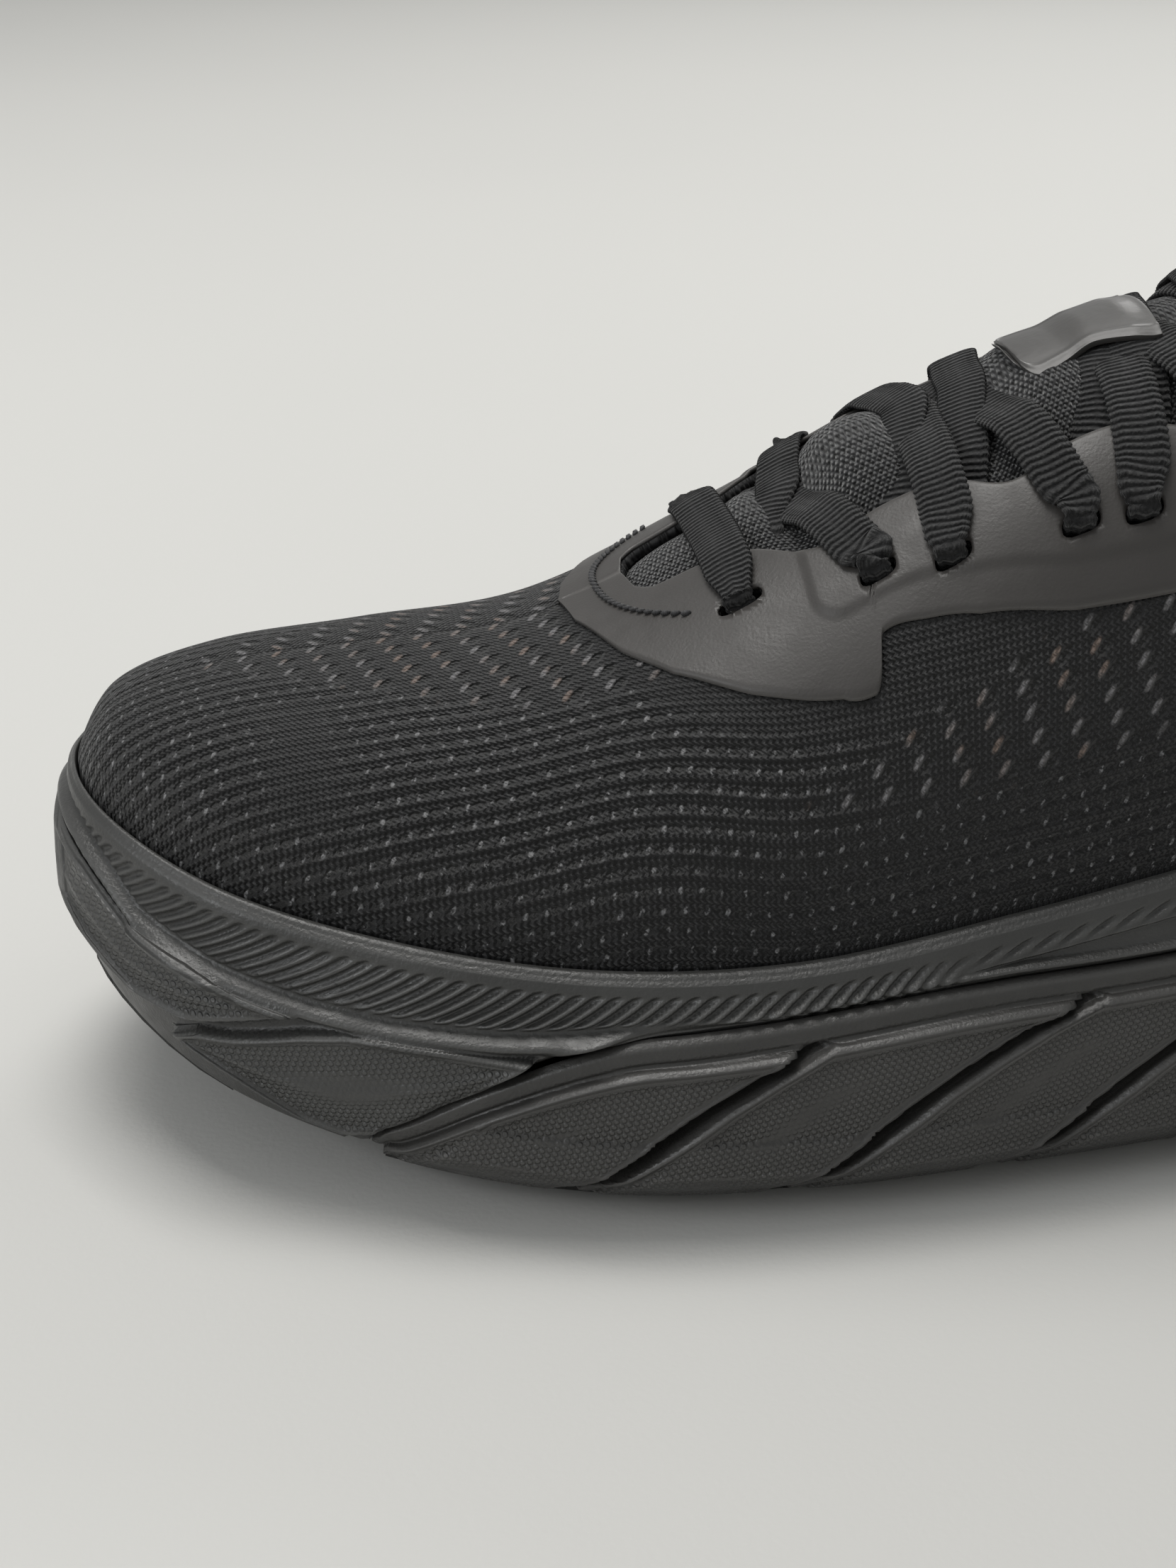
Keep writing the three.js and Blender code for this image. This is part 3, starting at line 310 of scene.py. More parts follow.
def last_normal(c, q):
    c, q = np.broadcast_arrays(np.asarray(c, float), q)
    side = np.where(q < 0, OUTER, INNER)
    along = on_last(np.minimum(c + .01, HEEL), q) - on_last(np.maximum(c - .01, 0), q)
    girth = on_last(c, q + side * .01) - on_last(c, q - side * .01)
    normal = np.cross(along, girth) * side[..., None]
    return normal / np.linalg.norm(normal, axis=-1, keepdims=True)


def curve_value(points, at):
    """A smooth curve through (station, value) points, read at each station."""
    xs, ys = np.array(points, float).T
    at = np.asarray(at, float)
    i = np.clip(np.searchsorted(xs, at, "right") - 1, 0, len(xs) - 2)
    t = np.clip((at - xs[i]) / (xs[i + 1] - xs[i]), 0, 1)
    pick = [ys[np.clip(i + k, 0, len(xs) - 1)] for k in (-1, 0, 1, 2)]
    return spline(*pick, t)


def smooth_step(x, low, high):
    t = np.clip((np.asarray(x, float) - low) / (high - low), 0, 1)
    return t * t * (3 - 2 * t)


def mapped_sheet(name, cells, shape, finish, uv=None, closed=False, marks=(), merge=.00002,
                 modifiers=(), holes=None):
    """A piece made from a flat grid: shape(u, v) moves its points, in millimetres, where u
    and v run from 0 to 1, and uv(u, v) lays its cloth out flat, in millimetres. holes(u, v)
    gives each point's share of the way out to a hole's rim and the hole's middle."""
    bm = bmesh.new()
    bmesh.ops.create_grid(bm, x_segments=cells[0], y_segments=cells[1], size=.5)
    mesh = bpy.data.meshes.new(name)
    bm.to_mesh(mesh)
    bm.free()
    flat = np.empty(len(mesh.vertices) * 3)
    mesh.vertices.foreach_get("co", flat)
    u, v = np.round(flat.reshape(-1, 3)[:, :2].T + .5, 7)
    mesh.vertices.foreach_set("co", (shape(u, v) * MM).ravel())
    corner = np.empty(len(mesh.loops), int)
    mesh.loops.foreach_get("vertex_index", corner)
    if uv:
        layer = mesh.uv_layers.new(name="Cloth")
        layer.data.foreach_set("uv", np.stack(uv(u, v), -1)[corner].ravel())
    for mark, value in dict(marks).items():
        mesh.attributes.new(mark, "FLOAT", "POINT").data.foreach_set("value", value(u, v))
    bm = bmesh.new()
    bm.from_mesh(mesh)
    if holes:
        reach, middle = holes(u, v)
        near = [(vert, reach[vert.index], Vector(middle[vert.index] * MM)) for vert in bm.verts
                if reach[vert.index] < 1.6]
        gone = [vert for vert, share, _ in near if share < 1]
        bmesh.ops.delete(bm, geom=gone, context="VERTS")
        for vert, share, centre in near:
            if share >= 1 and vert.is_boundary:
                vert.co = centre + (vert.co - centre) / share
    bmesh.ops.remove_doubles(bm, verts=bm.verts, dist=merge)
    if closed:
        edges = [e for e in bm.edges if e.is_boundary]
        if edges:
            bmesh.ops.holes_fill(bm, edges=edges)
    bmesh.ops.recalc_face_normals(bm, faces=bm.faces)
    bm.to_mesh(mesh)
    bm.free()
    mesh.shade_smooth()
    mesh.materials.append(finish.material)
    piece = bpy.data.objects.new(name, mesh)
    bpy.context.scene.collection.objects.link(piece)
    for kind, settings in modifiers:
        change = piece.modifiers.new(kind.lower(), kind)
        for key, value in settings.items():
            setattr(change, key, value)
    return piece


LACE_WIDTH, LACE_THICKNESS = 7.5, 1.3
RIB_PITCH = 1.15                 # of the ribs across the lace

lace_finish = Finish("lace_webbing", (.030, .030, .031), .78, .35)
across, along = lace_finish.sheet("Cloth")
rib = lace_finish.wave(along, RIB_PITCH)
zigzag = lace_finish.math("FRACT", lace_finish.times(across, .42))
slant = lace_finish.math("ABSOLUTE", lace_finish.less(zigzag, .5))
twill = lace_finish.wave(lace_finish.add(along, lace_finish.times(slant, .5)), RIB_PITCH)
yarn = lace_finish.wave(across, .62)
weave = lace_finish.times(twill, lace_finish.add(lace_finish.times(yarn, .35), .65))
fuzz = lace_finish.noise(2600, 3.0)
lace_finish.colour(lace_finish.mix(lace_finish.times(weave, lace_finish.ease(fuzz, .35, .8)),
                                   (.005, .005, .0055), (.046, .046, .046)))
lace_finish.bump(lace_finish.add(weave, lace_finish.times(fuzz, .45)), .00055)
lace_finish.sheen(.12, .4)


def resample(points, normals, widths, step):
    """Even stops along a smooth curve through the points, with its normals and widths."""
    points, normals, widths = map(np.asarray, (points, normals, widths))
    reach = np.r_[0, np.cumsum(np.linalg.norm(np.diff(points, axis=0), axis=1) ** .5)]
    fine = np.linspace(0, reach[-1], len(points) * 24)
    i = np.clip(np.searchsorted(reach, fine, "right") - 1, 0, len(points) - 2)
    gap = (reach[i + 1] - reach[i])[:, None]
    t = (fine[:, None] - reach[i][:, None]) / gap
    last = len(points) - 1

    def tangent(k):
        before, after = np.clip(k - 1, 0, last), np.clip(k + 1, 0, last)
        return (points[after] - points[before]) / (reach[after] - reach[before])[:, None]
    a, b = points[i], points[i + 1]
    m, n = tangent(i) * gap, tangent(i + 1) * gap
    curve = ((2 * t ** 3 - 3 * t ** 2 + 1) * a + (t ** 3 - 2 * t ** 2 + t) * m
             + (3 * t ** 2 - 2 * t ** 3) * b + (t ** 3 - t ** 2) * n)
    ease = t * t * (3 - 2 * t)
    face = normals[i] * (1 - ease) + normals[i + 1] * ease
    wide = (widths[i][:, None] * (1 - ease) + widths[i + 1][:, None] * ease)[:, 0]
    run = np.r_[0, np.cumsum(np.linalg.norm(np.diff(curve, axis=0), axis=1))]
    even = np.linspace(0, run[-1], max(int(run[-1] / step), 8))
    at = np.stack([np.interp(even, run, curve[:, k]) for k in range(3)], -1)
    face = np.stack([np.interp(even, run, face[:, k]) for k in range(3)], -1)
    along = np.gradient(at, axis=0)
    along /= np.linalg.norm(along, axis=1, keepdims=True)
    side = np.cross(along, face)
    side /= np.linalg.norm(side, axis=1, keepdims=True)
    return at, side, np.cross(side, along), np.interp(even, run, wide), even


def woven_lace(name, points, normals, widths, thick=LACE_THICKNESS, step=.29):
    """A flat woven lace along those stops, with a rib every RIB_PITCH and a toothed edge."""
    at, side, up, wide, run = resample(points, normals, widths, step)
    rows, turns = len(at) - 1, 20

    def shape(u, v):
        row = np.clip(np.round(v * rows).astype(int), 0, rows)
        angle = u * 2 * math.pi
        across, rise = np.cos(angle), np.sin(angle)
        flat = np.sign(across) * np.abs(across) ** .55
        full = np.sign(rise) * np.abs(rise) ** .8
        rib = np.cos(run[row] * 2 * math.pi / RIB_PITCH)
        pinch = LACE_WIDTH / wide[row]
        half = wide[row] / 2 + .13 * rib * np.abs(flat) ** 6
        height = thick / 2 * (1 + .25 * (pinch - 1)) * (1 + .10 * rib)
        crease = .3 * (pinch - 1) * np.cos(flat * 7)
        end = np.where((row == 0) | (row == rows), .05, 1)
        return (at[row] + side[row] * (flat * half * end)[:, None]
                + up[row] * ((full * height + crease * full) * end)[:, None])

    def cloth(u, v):
        row = np.clip(np.round(v * rows).astype(int), 0, rows)
        return np.abs(u - .5) * 2 * LACE_WIDTH, run[row]
    piece = mapped_sheet(name, (turns, rows), shape, lace_finish, cloth, closed=True, merge=1e-7)
    return piece, at, run[-1]


KNOT_STATION, KNOT_LIFT = 7.5, 2.2
knot_centre = on_last(KNOT_STATION, 0.0) + last_normal(KNOT_STATION, 0.0) * KNOT_LIFT
LOOP_WAY = np.array([
    [4.2, 8.5, 1.5], [8, 17, 3.5], [13.5, 28, 0], [19, 39, -11], [23.5, 46, -24],
    [25.5, 47.5, -33], [26.5, 45, -37.5], [27.5, 43, -33], [25.5, 41, -23], [21, 35.5, -11],
    [15, 26, -3.8], [9, 16.5, -1.4], [4.4, 8.8, -.7]], float)
END_WAY = np.array([
    [-4.5, 8.5, .5], [-3.5, 16, 1.5], [0, 26, -3], [4.5, 35, -13], [8, 40, -25],
    [11, 42.5, -37], [14, 44, -47]], float)

tip_finish = Finish("lace_tip_film", (.03, .03, .032), .22, .5)
tip_finish.colour(tip_finish.mix(tip_finish.ease(tip_finish.grain((1, 1, 3), 700), .35, .7),
                                 (.018, .018, .019), (.050, .050, .052)))
tip_finish.bump(tip_finish.grain((1, 1, 4), 900), .00006)
tip_finish.shader.inputs["Coat Weight"].default_value = .35

for label, side in (("lateral", OUTER), ("medial", INNER)):
    mirror = np.array([1, side, 1])
    for part, way in (("loop", LOOP_WAY), ("end", END_WAY)):
        route = way * mirror + knot_centre
        heading = np.gradient(route, axis=0)
        face = np.cross([1.0, 0, 0], heading)
        face /= np.linalg.norm(face, axis=1, keepdims=True)
        strand, centre, length = woven_lace(f"bow_{part}_{label}", route, face,
                                            np.full(len(route), LACE_WIDTH))
        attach(strand, "shoe")
        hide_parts(f"lace_{part}_{label}")
    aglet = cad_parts[f"aglet_{label}"]
    aglet.data.materials.clear()
    aglet.data.materials.append(tip_finish.material)

# The knot is a soft lump of the same lace: two turns laid over a rounded core.
ball = bmesh.new()
bmesh.ops.create_uvsphere(ball, u_segments=48, v_segments=32, radius=1)
for vert in ball.verts:
    x, y, z = vert.co
    fold = .10 * math.sin(5 * y + 2.2 * x) * (1 - y * y)
    vert.co = Vector((x * (.92 + fold), y * (1 - .12 * abs(x)), z * (.9 + fold)))
bmesh.ops.scale(ball, verts=ball.verts, vec=(5.8 * MM, 7.8 * MM, 3.9 * MM))
bmesh.ops.translate(ball, verts=ball.verts, vec=tuple(knot_centre * MM))
knot_mesh = bpy.data.meshes.new("bow_knot")
ball.to_mesh(knot_mesh)
ball.free()
knot_mesh.shade_smooth()
knot_cloth = knot_mesh.uv_layers.new(name="Cloth")
for loop in knot_mesh.loops:
    point = knot_mesh.vertices[loop.vertex_index].co / MM
    knot_cloth.data[loop.index].uv = (point.y * .9, point.x * 1.1 + point.z * .6)
knot_mesh.materials.append(lace_finish.material)
knot = bpy.data.objects.new("bow_knot", knot_mesh)
bpy.context.scene.collection.objects.link(knot)
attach(knot, "shoe")
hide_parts("lace_knot")
# The middle of the bow: one wrap of lace round the knot.
wrap_angle = np.linspace(0, 2 * math.pi, 13)
wrap_face = np.stack([np.cos(wrap_angle), np.zeros(13), np.sin(wrap_angle)], -1)
wrap = knot_centre + wrap_face * [5.6, 0, 3.4]
knot_wrap = woven_lace("bow_wrap", wrap, wrap_face, np.full(13, 6.4), thick=1.0)[0]
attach(knot_wrap, "shoe")

# ---------------------------------------------------------------------------
# Upper half of the midsole: one moulded foam cradle with a raised lip.
# Its side carries a slanted feather pattern under the lip, a bead that runs back from
# the toe, and leaf-shaped pods round the toe. The upper is glued down inside the lip.
# ---------------------------------------------------------------------------
PAD_THICKNESS, GAP = 3.0, .3
PARTING = [(2.7, 36), (2.96, 27), (3.52, 16), (4.06, 9), (4.52, 7), (5.2, 6), (5.8, 7),
           (6.66, 10), (8, 12), (10, 13.5), (13, 14)]
SPLIT_START = 2.7                # station where the lower foam piece begins
BOARD_THICKNESS = 1.2
WALL_INSET, BASE_INSET = 5, 6.5  # of the lip and of the underside from the widest line
WIDEST_SHARE = .42               # of the sole's height where it is widest
FOOT_BED_DEPTH = 6               # least foam under the foot bed
PARTING_LEDGE = 1.5              # least overlap of the two foams inside the side wall
STROKE_PITCH = 2.75              # of the feather strokes along the lip
stations = np.linspace(0, HEEL, 1301)
tread_x, tread_z = section(stations, OUTER)[[0, 2]]
ring = np.linspace(0, 2 * HEEL, 5201)
ring_points = plan_point(np.where(ring < HEEL, ring, 2 * HEEL - ring),
                         np.where(ring < HEEL, OUTER, INNER), 0, 0)
ring_run = np.r_[0, np.cumsum(np.linalg.norm(np.diff(ring_points, axis=0), axis=1))]


def around(u):
    """Station, side and distance from the toe tip, going evenly round the sole."""
    at = np.interp(u * ring_run[-1], ring_run, ring)
    from_toe = np.minimum(u, 1 - u) * ring_run[-1]
    return (np.where(at <= HEEL, at, 2 * HEEL - at), np.where(at <= HEEL, OUTER, INNER), from_toe)


def sole_column(c, side):
    """What the sole is at each station: a dict of millimetre values."""
    part = section(c, side)
    narrow = np.minimum(part[4] / 8, 1)
    base = np.interp(plan_point(c, side, BASE_INSET * narrow, 0)[..., 0], tread_x, tread_z)
    start = base + PAD_THICKNESS + GAP
    split = np.where(c <= SPLIT_START, start, np.maximum(part[3] - curve_value(PARTING, c), start))
    return {"rim": part[3], "lip": part[4], "bed": part[5], "narrow": narrow, "base": base,
            "split": split}


def wall_inset(share):
    high = WALL_INSET * np.maximum((share - WIDEST_SHARE) / (1 - WIDEST_SHARE), 0) ** 2.4
    low = BASE_INSET * (np.minimum(share - WIDEST_SHARE, 0) / WIDEST_SHARE) ** 2
    return np.where(share > WIDEST_SHARE, high, low)


def wall_point(c, side, z, raised=0.0):
    col = sole_column(c, side)
    share = (z - col["base"]) / (col["rim"] - col["base"])
    return plan_point(c, side, wall_inset(share) * col["narrow"] - raised, z)


def split_inset(c, side, z):
    """How far in the two foam pieces meet under the foot bed."""
    col = sole_column(c, side)
    wall = wall_inset((z - col["base"]) / (col["rim"] - col["base"])) * col["narrow"]
    return np.maximum(.66 * col["lip"], wall + PARTING_LEDGE)


def level_point(c, side, inset, z, share):
    """A point of a level layer, from the middle line out to an inset edge."""
    edge = plan_point(c, side, inset, z)
    middle = (plan_point(c, OUTER, inset, z) + plan_point(c, INNER, inset, z)) / 2
    return middle + (edge - middle) * share[..., None]


def under_point(c, side, lift, share):
    col = sole_column(c, side)
    p = level_point(c, side, BASE_INSET * col["narrow"], 0, share)
    p[..., 2] = np.interp(p[..., 0], tread_x, tread_z) + lift
    return p


def bump_line(distance, width):
    """A smooth rounded ridge of height 1 and about that half width."""
    return np.exp(-(distance / width) ** 2)


# Depth below the lip of the bottom of the feather pattern, by x.
FEATHER_END = [(-150, 3), (-146, 3.8), (-142, 5.6), (-138, 8.2), (-127, 9.6), (-115, 10),
               (-104, 9.8), (-89, 8.8), (-74, 7.0), (-61, 6.2), (-45, 6.0), (150, 6.0)]
# Outlines of the two toe pods: x, bottom z, top z.
TOE_PODS = [
    [(-150, 33, 44), (-146, 30, 42.3), (-139, 26.2, 37.2), (-131, 25.6, 34.9), (-124, 27.9, 32.1),
     (-116, 30.4, 30.6)],
    [(-134, 22.3, 22.5), (-130, 20.4, 24.6), (-125, 18, 25.5), (-116, 13, 28), (-110, 11.4, 29),
     (-105, 13, 29.2), (-97, 17.6, 28.6), (-90, 22.8, 27.9), (-84, 27.2, 27.3)],
]


def in_pod(pod, x, z):
    """Distance in from a pod's outline, and how far up it is, 0 at its foot and 1 at its top."""
    xs, low, high = np.array(pod, float).T
    low, high = np.interp(x, xs, low), np.interp(x, xs, high)
    inside = np.minimum(np.minimum(z - low, high - z), np.minimum(x - xs[0], (xs[-1] - x) * .4))
    return np.where(x > xs[-1], -1, inside), (z - low) / np.maximum(high - low, .1)


def carrier_relief(c, side, from_toe, z):
    """How far the cradle's side stands out from its smooth wall."""
    col = sole_column(c, side)
    x = wall_point(c, side, z)[..., 0]
    below = col["rim"] - z
    end = np.interp(x, *np.array(FEATHER_END).T)
    front = 1 - smooth_step(x, -78, -62)
    raised = -1.1 * bump_line(below - end, .7) * (1 - smooth_step(x, -66, -50))
    raised += 1.0 * bump_line(below - end - 1.6, .75) * front
    raised -= 1.0 * smooth_step(below - end, 2.3, 3.2) * front
    stroke = (from_toe + 1.0 * below + .05 * below ** 2) / STROKE_PITCH
    cut = (.5 + .5 * np.cos(stroke * 2 * np.pi)) ** 1.2
    strength = .45 + .45 * smooth_step(from_toe, 8, 60)
    strength = strength * (1 - smooth_step(x, -36, -20))
    inner_end = end - .5 + .8 * smooth_step(x, -66, -46)
    band = smooth_step(below, 2.0, 3.4) * (1 - smooth_step(below, inner_end - .8, inner_end + .5))
    raised -= strength * cut * band
    to_split = z - col["split"]
    panel = smooth_step(x, -40, -22) * smooth_step(below, 4.8, 5.6) * smooth_step(to_split, 1.2, 1.9)
    raised -= 1.0 * panel
    braid = (.5 + .5 * np.cos((from_toe + 2.2 * below) / 4.2 * 2 * np.pi)) ** 1.3
    raised -= .8 * braid * smooth_step(x, -30, -20) * bump_line(below - 3.6, .9)
    for pod in TOE_PODS:
        inside, height = in_pod(pod, x, z)
        raised += 2.0 * smooth_step(inside, -.3, .5) + .45 * bump_line(inside - .9, .45)
        facet = .5 * smooth_step(inside, 1.3, 1.9)
        crease = .5 * bump_line(height - .45, .09) * smooth_step(inside, 1.3, 2)
        raised -= facet - crease
    raised += .45 * bump_line(to_split - 1.1, .6) * smooth_step(x, -95, -80)
    raised -= 1.0 * bump_line(to_split, .55) * (c > SPLIT_START)
    return raised


CARRIER_ROWS = (4, 74, 10, 6)    # underside, side wall, lip, inside


def carrier_shape(u, v):
    c, side, from_toe = around(u)
    col = sole_column(c, side)
    row = np.round(v * sum(CARRIER_ROWS)).astype(int)
    under, wall, lip, inside = np.cumsum(CARRIER_ROWS)
    top = col["rim"]
    bed = col["bed"] - BOARD_THICKNESS - 2 * GAP
    z = col["split"] + (top - 1 - col["split"]) * np.clip((row - under) / (wall - under), 0, 1)
    side_wall = wall_point(c, side, z, carrier_relief(c, side, from_toe, z))
    share = np.clip(row / under, 0, 1)
    inner_z = np.minimum(col["split"], bed - FOOT_BED_DEPTH)
    flat = level_point(c, side, split_inset(c, side, col["split"]), inner_z, share)
    keel = under_point(c, side, PAD_THICKNESS + GAP, share)
    below = np.where((c > SPLIT_START)[:, None], flat, keel)
    over = np.clip((row - wall) / (lip - wall), 0, 1)
    outer_edge, inner_edge = WALL_INSET * col["narrow"], col["lip"] - GAP
    reach = outer_edge + (inner_edge - outer_edge) * over
    crown = top - 1 + np.sin(np.clip(over * 1.7, 0, 1) * QUARTER) * 1.0 - .9 * np.clip(over - .8, 0, 1) * 4
    crest = plan_point(c, side, reach, crown)
    drop = np.clip((row - lip) / (inside - lip), 0, 1)
    floor_share = np.clip(1 - (drop - .34) / .66, 0, 1)
    well = level_point(c, side, inner_edge, bed, floor_share)
    well[:, 2] = np.where(drop < .34, crest[:, 2] + (bed - crest[:, 2]) * drop / .34, bed)
    well = np.where((drop < .34)[:, None], plan_point(c, side, inner_edge, well[:, 2]), well)
    return np.select([(row < under)[:, None], (row <= wall)[:, None], (row <= lip)[:, None]],
                     [below, side_wall, crest], well)


def pod_mark(u, v):
    """Distance in from the outline of the nearest pod."""
    p = carrier_shape(u, v)
    return np.maximum(*[in_pod(pod, p[:, 0], p[:, 2])[0] for pod in TOE_PODS])


def feather_place(u, v):
    """Along the feather pattern, in strokes, then down from the lip, and x."""
    c, side, from_toe = around(u)
    col = sole_column(c, side)
    z = carrier_shape(u, v)[:, 2]
    below = col["rim"] - z
    stroke = (from_toe + below + .05 * below ** 2) / STROKE_PITCH
    return stroke, below, wall_point(c, side, z)[:, 0]


def feather_mark(u, v):
    """How strongly the strokes are cut: 1 inside the pattern."""
    _, below, x = feather_place(u, v)
    inner_end = np.interp(x, *np.array(FEATHER_END).T) - .5 + .8 * smooth_step(x, -66, -46)
    band = smooth_step(below, 2.0, 3.0) * (1 - smooth_step(below, inner_end - .6, inner_end + .3))
    outside = np.round(v * sum(CARRIER_ROWS)) <= sum(CARRIER_ROWS[:2])
    return band * (1 - smooth_step(x, -36, -20)) * outside


def foam_finish(name, colour, dot_tone_and_highlight):
    """Moulded foam with a soft skin. Its raised shapes have a thin bead along the edge and
    a pricked texture inside it, and its feather strokes are cut sharp at the bottom. The
    second colour is the pricked dots' paler tone and also painted highlight on sharp edges
    and beads; the strokes are darkened as painted shade in their cuts."""
    f = Finish(name, colour, .42, .6)
    x, z = (f.node("ShaderNodeSeparateXYZ", k, Vector=f.place) for k in (0, 2))
    dots = f.dots(f.times(f.less(x, f.times(z, .35)), 1000), f.times(f.add(z, f.times(x, .25)), 1000),
                  .95, .95, .8, .8)
    leaf, low = f.mark("leaf"), f.mark("low")
    bead = f.times(f.ease(leaf, -.05, .25), f.ease(leaf, .55, 1.05, 1.0, 0.0))
    upper_band = f.times(f.ease(leaf, 1.3, 1.7), f.ease(leaf, 5.0, 7.5, 1.0, .12))
    lower_band = f.times(f.times(f.ease(low, 9.8, 10.2), f.ease(low, 13.6, 14.8, 1.0, 0.0)),
                         f.ease(leaf, .9, 1.4))
    pricked = f.math("MAXIMUM", upper_band, lower_band)
    stroke = f.times(f.wave(f.add(f.mark("stroke"), .25), 1.0), f.mark("feather"))
    skin = f.noise(1800, 3.0)
    cloud = f.noise(45, 3.0)
    height = f.add(f.times(f.times(dots, pricked), .9), f.times(skin, .5))
    height = f.add(height, f.times(bead, 1.6))
    f.bump(f.less(height, f.times(stroke, 1.1)), .00022)
    tone = f.mix(f.ease(cloud, .3, .7), tuple(v * .84 for v in colour), tuple(v * 1.16 for v in colour))
    # Painted highlight: sharp outer edges, found by pointiness, are lightened towards the paler second
    # colour.
    edge = f.ease(f.node("ShaderNodeNewGeometry", "Pointiness"), .505, .56)
    # Painted shade: the feather strokes are darkened where their cuts would lie in shadow.
    tone = f.mix(f.times(stroke, .2), tone, tuple(v * .4 for v in colour))
    # The pricked dots are mixed a little towards the paler second colour.
    tone = f.mix(f.times(f.times(dots, pricked), .3), tone, dot_tone_and_highlight)
    # Painted highlight: the edges and the beads are mixed towards the paler second colour.
    f.colour(f.mix(f.math("MAXIMUM", f.times(edge, .45), f.times(bead, .4)), tone, dot_tone_and_highlight))
    f.rough(f.ease(f.noise(300, 2.0), .2, .8, .34, .50))
    return f


# The second colour is the pricked dots' paler tone and the painted highlight on edges and beads.
carrier_finish = foam_finish("dark_grey_foam", (.036, .036, .0345), (.095, .095, .092))
carrier = mapped_sheet(
    "midsole_cradle", (1060, sum(CARRIER_ROWS)), carrier_shape, carrier_finish,
    marks={"leaf": pod_mark, "low": lambda u, v: np.full(u.shape, 50.0), "feather": feather_mark,
           "stroke": lambda u, v: feather_place(u, v)[0]}, merge=.00001)
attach(carrier, "shoe")
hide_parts("midsole_carrier")

# ---------------------------------------------------------------------------
# Lower half of the midsole: a row of leaning foam blocks from the ball to the heel.
# Moulded in one piece, cut by slanted grooves, each block with a bead along its upper
# edge, a hollow upper facet and a lower facet that flares out to the tread.
# ---------------------------------------------------------------------------
GROOVE_PITCH = 31.5
# Middle line of one groove: z, x. The others are the same, a pitch apart.
GROOVE = [(0, -87), (2, -84), (6, -79), (9.5, -74), (14, -68.5), (19.9, -61), (24, -54.5),
          (28.1, -47), (31, -40), (34, -31), (40, -14), (46, 2), (60, 36)]


def groove_reach(x, z):
    """Distance to the groove on the toe side and on the heel side, square to them."""
    phase = np.mod(x - np.interp(z, *np.array(GROOVE, float).T), GROOVE_PITCH)
    return phase * .57, (GROOVE_PITCH - phase) * .57


def block_relief(c, side, z):
    col = sole_column(c, side)
    x = wall_point(c, side, z)[..., 0]
    behind, ahead = groove_reach(x, z)
    start = smooth_step(x, -97, -88) * (1 - smooth_step(x, 128, 140))
    from_top = col["split"] - GAP - z
    height = z - col["base"]
    edge_top = smooth_step(from_top, 3.3, 4.0)
    edge_side = 1 - start * (1 - smooth_step(behind, .9, 1.5))
    edge_low = 1 - start * (1 - smooth_step(ahead, .3, .9))
    face = 2.1 * edge_top * edge_side
    bead = np.maximum(bump_line(from_top - 4.5, .55), bump_line(behind - 1.95, .5) * start)
    face += .3 * bead * edge_side * edge_top
    inner = smooth_step(np.minimum(from_top - 5.2, behind - 2.6), 0, .8)
    face -= .55 * inner * smooth_step(height, 14.6, 15.4)
    face += inner * .7 * np.clip((15 - height) / 5, 0, 1)
    face += .35 * bump_line(height - 9.6, .6) * inner
    face -= 2.2 * smooth_step(height, 8.6, 3.6)
    band = .4 * (1 - smooth_step(from_top, 2.6, 3.4)) - 1.3 * smooth_step(from_top, .9, -.1)
    cut = (1 - smooth_step(np.minimum(behind * .8, ahead), .25, .85)) * start
    cut = cut * smooth_step(from_top, 2.9, 4.1)
    return face * edge_low + band - 2.9 * cut


BLOCK_ROWS = (5, 80, 4)          # underside, side wall, top
BLOCKS_START = SPLIT_START + .12 # station of the first block's tip


def block_shape(u, v):
    c, side, _ = around(u)
    c = np.maximum(c, BLOCKS_START)
    col = sole_column(c, side)
    row = np.round(v * sum(BLOCK_ROWS)).astype(int)
    under, wall, top = np.cumsum(BLOCK_ROWS)
    bed = col["bed"] - BOARD_THICKNESS - 2 * GAP
    low, high = col["base"] + PAD_THICKNESS + GAP + .2, col["split"] - GAP
    z = low + (high - low) * np.clip((row - under) / (wall - under), 0, 1)
    side_wall = wall_point(c, side, z, block_relief(c, side, z))
    keel = under_point(c, side, PAD_THICKNESS + GAP, np.clip(row / under, 0, 1) * .985)
    share = np.clip(1 - (row - wall - 1) / (top - wall - 1), 0, 1)
    inner_z = np.minimum(high, bed - FOOT_BED_DEPTH - GAP)
    lid = level_point(c, side, split_inset(c, side, high) + GAP, inner_z, share)
    return np.select([(row < under)[:, None], (row <= wall)[:, None]], [keel, side_wall], lid)


def leaf_mark(u, v):
    """Distance in from the outline of a block, from its upper edge and from the groove."""
    c, side, _ = around(u)
    c = np.maximum(c, BLOCKS_START)
    p = block_shape(u, v)
    behind, ahead = groove_reach(p[:, 0], p[:, 2])
    from_top = sole_column(c, side)["split"] - GAP - p[:, 2]
    grooved = smooth_step(p[:, 0], -97, -88) * (1 - smooth_step(p[:, 0], 128, 140))
    beside = np.minimum(behind - 1.1, (ahead - .5) * .8)
    return np.minimum(from_top - 3.5, np.where(grooved > .5, beside, 9))


def height_mark(u, v):
    """Height over the underside of the lower foam."""
    c, side, _ = around(u)
    c = np.maximum(c, BLOCKS_START)
    return block_shape(u, v)[:, 2] - sole_column(c, side)["base"]


def no_mark(u, v):
    return np.zeros(u.shape)


# The second colour is the pricked dots' paler tone and the painted highlight on edges and beads.
block_finish = foam_finish("brown_grey_foam", (.033, .0322, .0305), (.090, .088, .085))
blocks = mapped_sheet(
    "midsole_blocks_foam", (1120, sum(BLOCK_ROWS)), block_shape, block_finish, closed=True,
    marks={"leaf": leaf_mark, "low": height_mark, "feather": no_mark, "stroke": no_mark},
    merge=.00001)
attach(blocks, "shoe")
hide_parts("midsole_blocks")

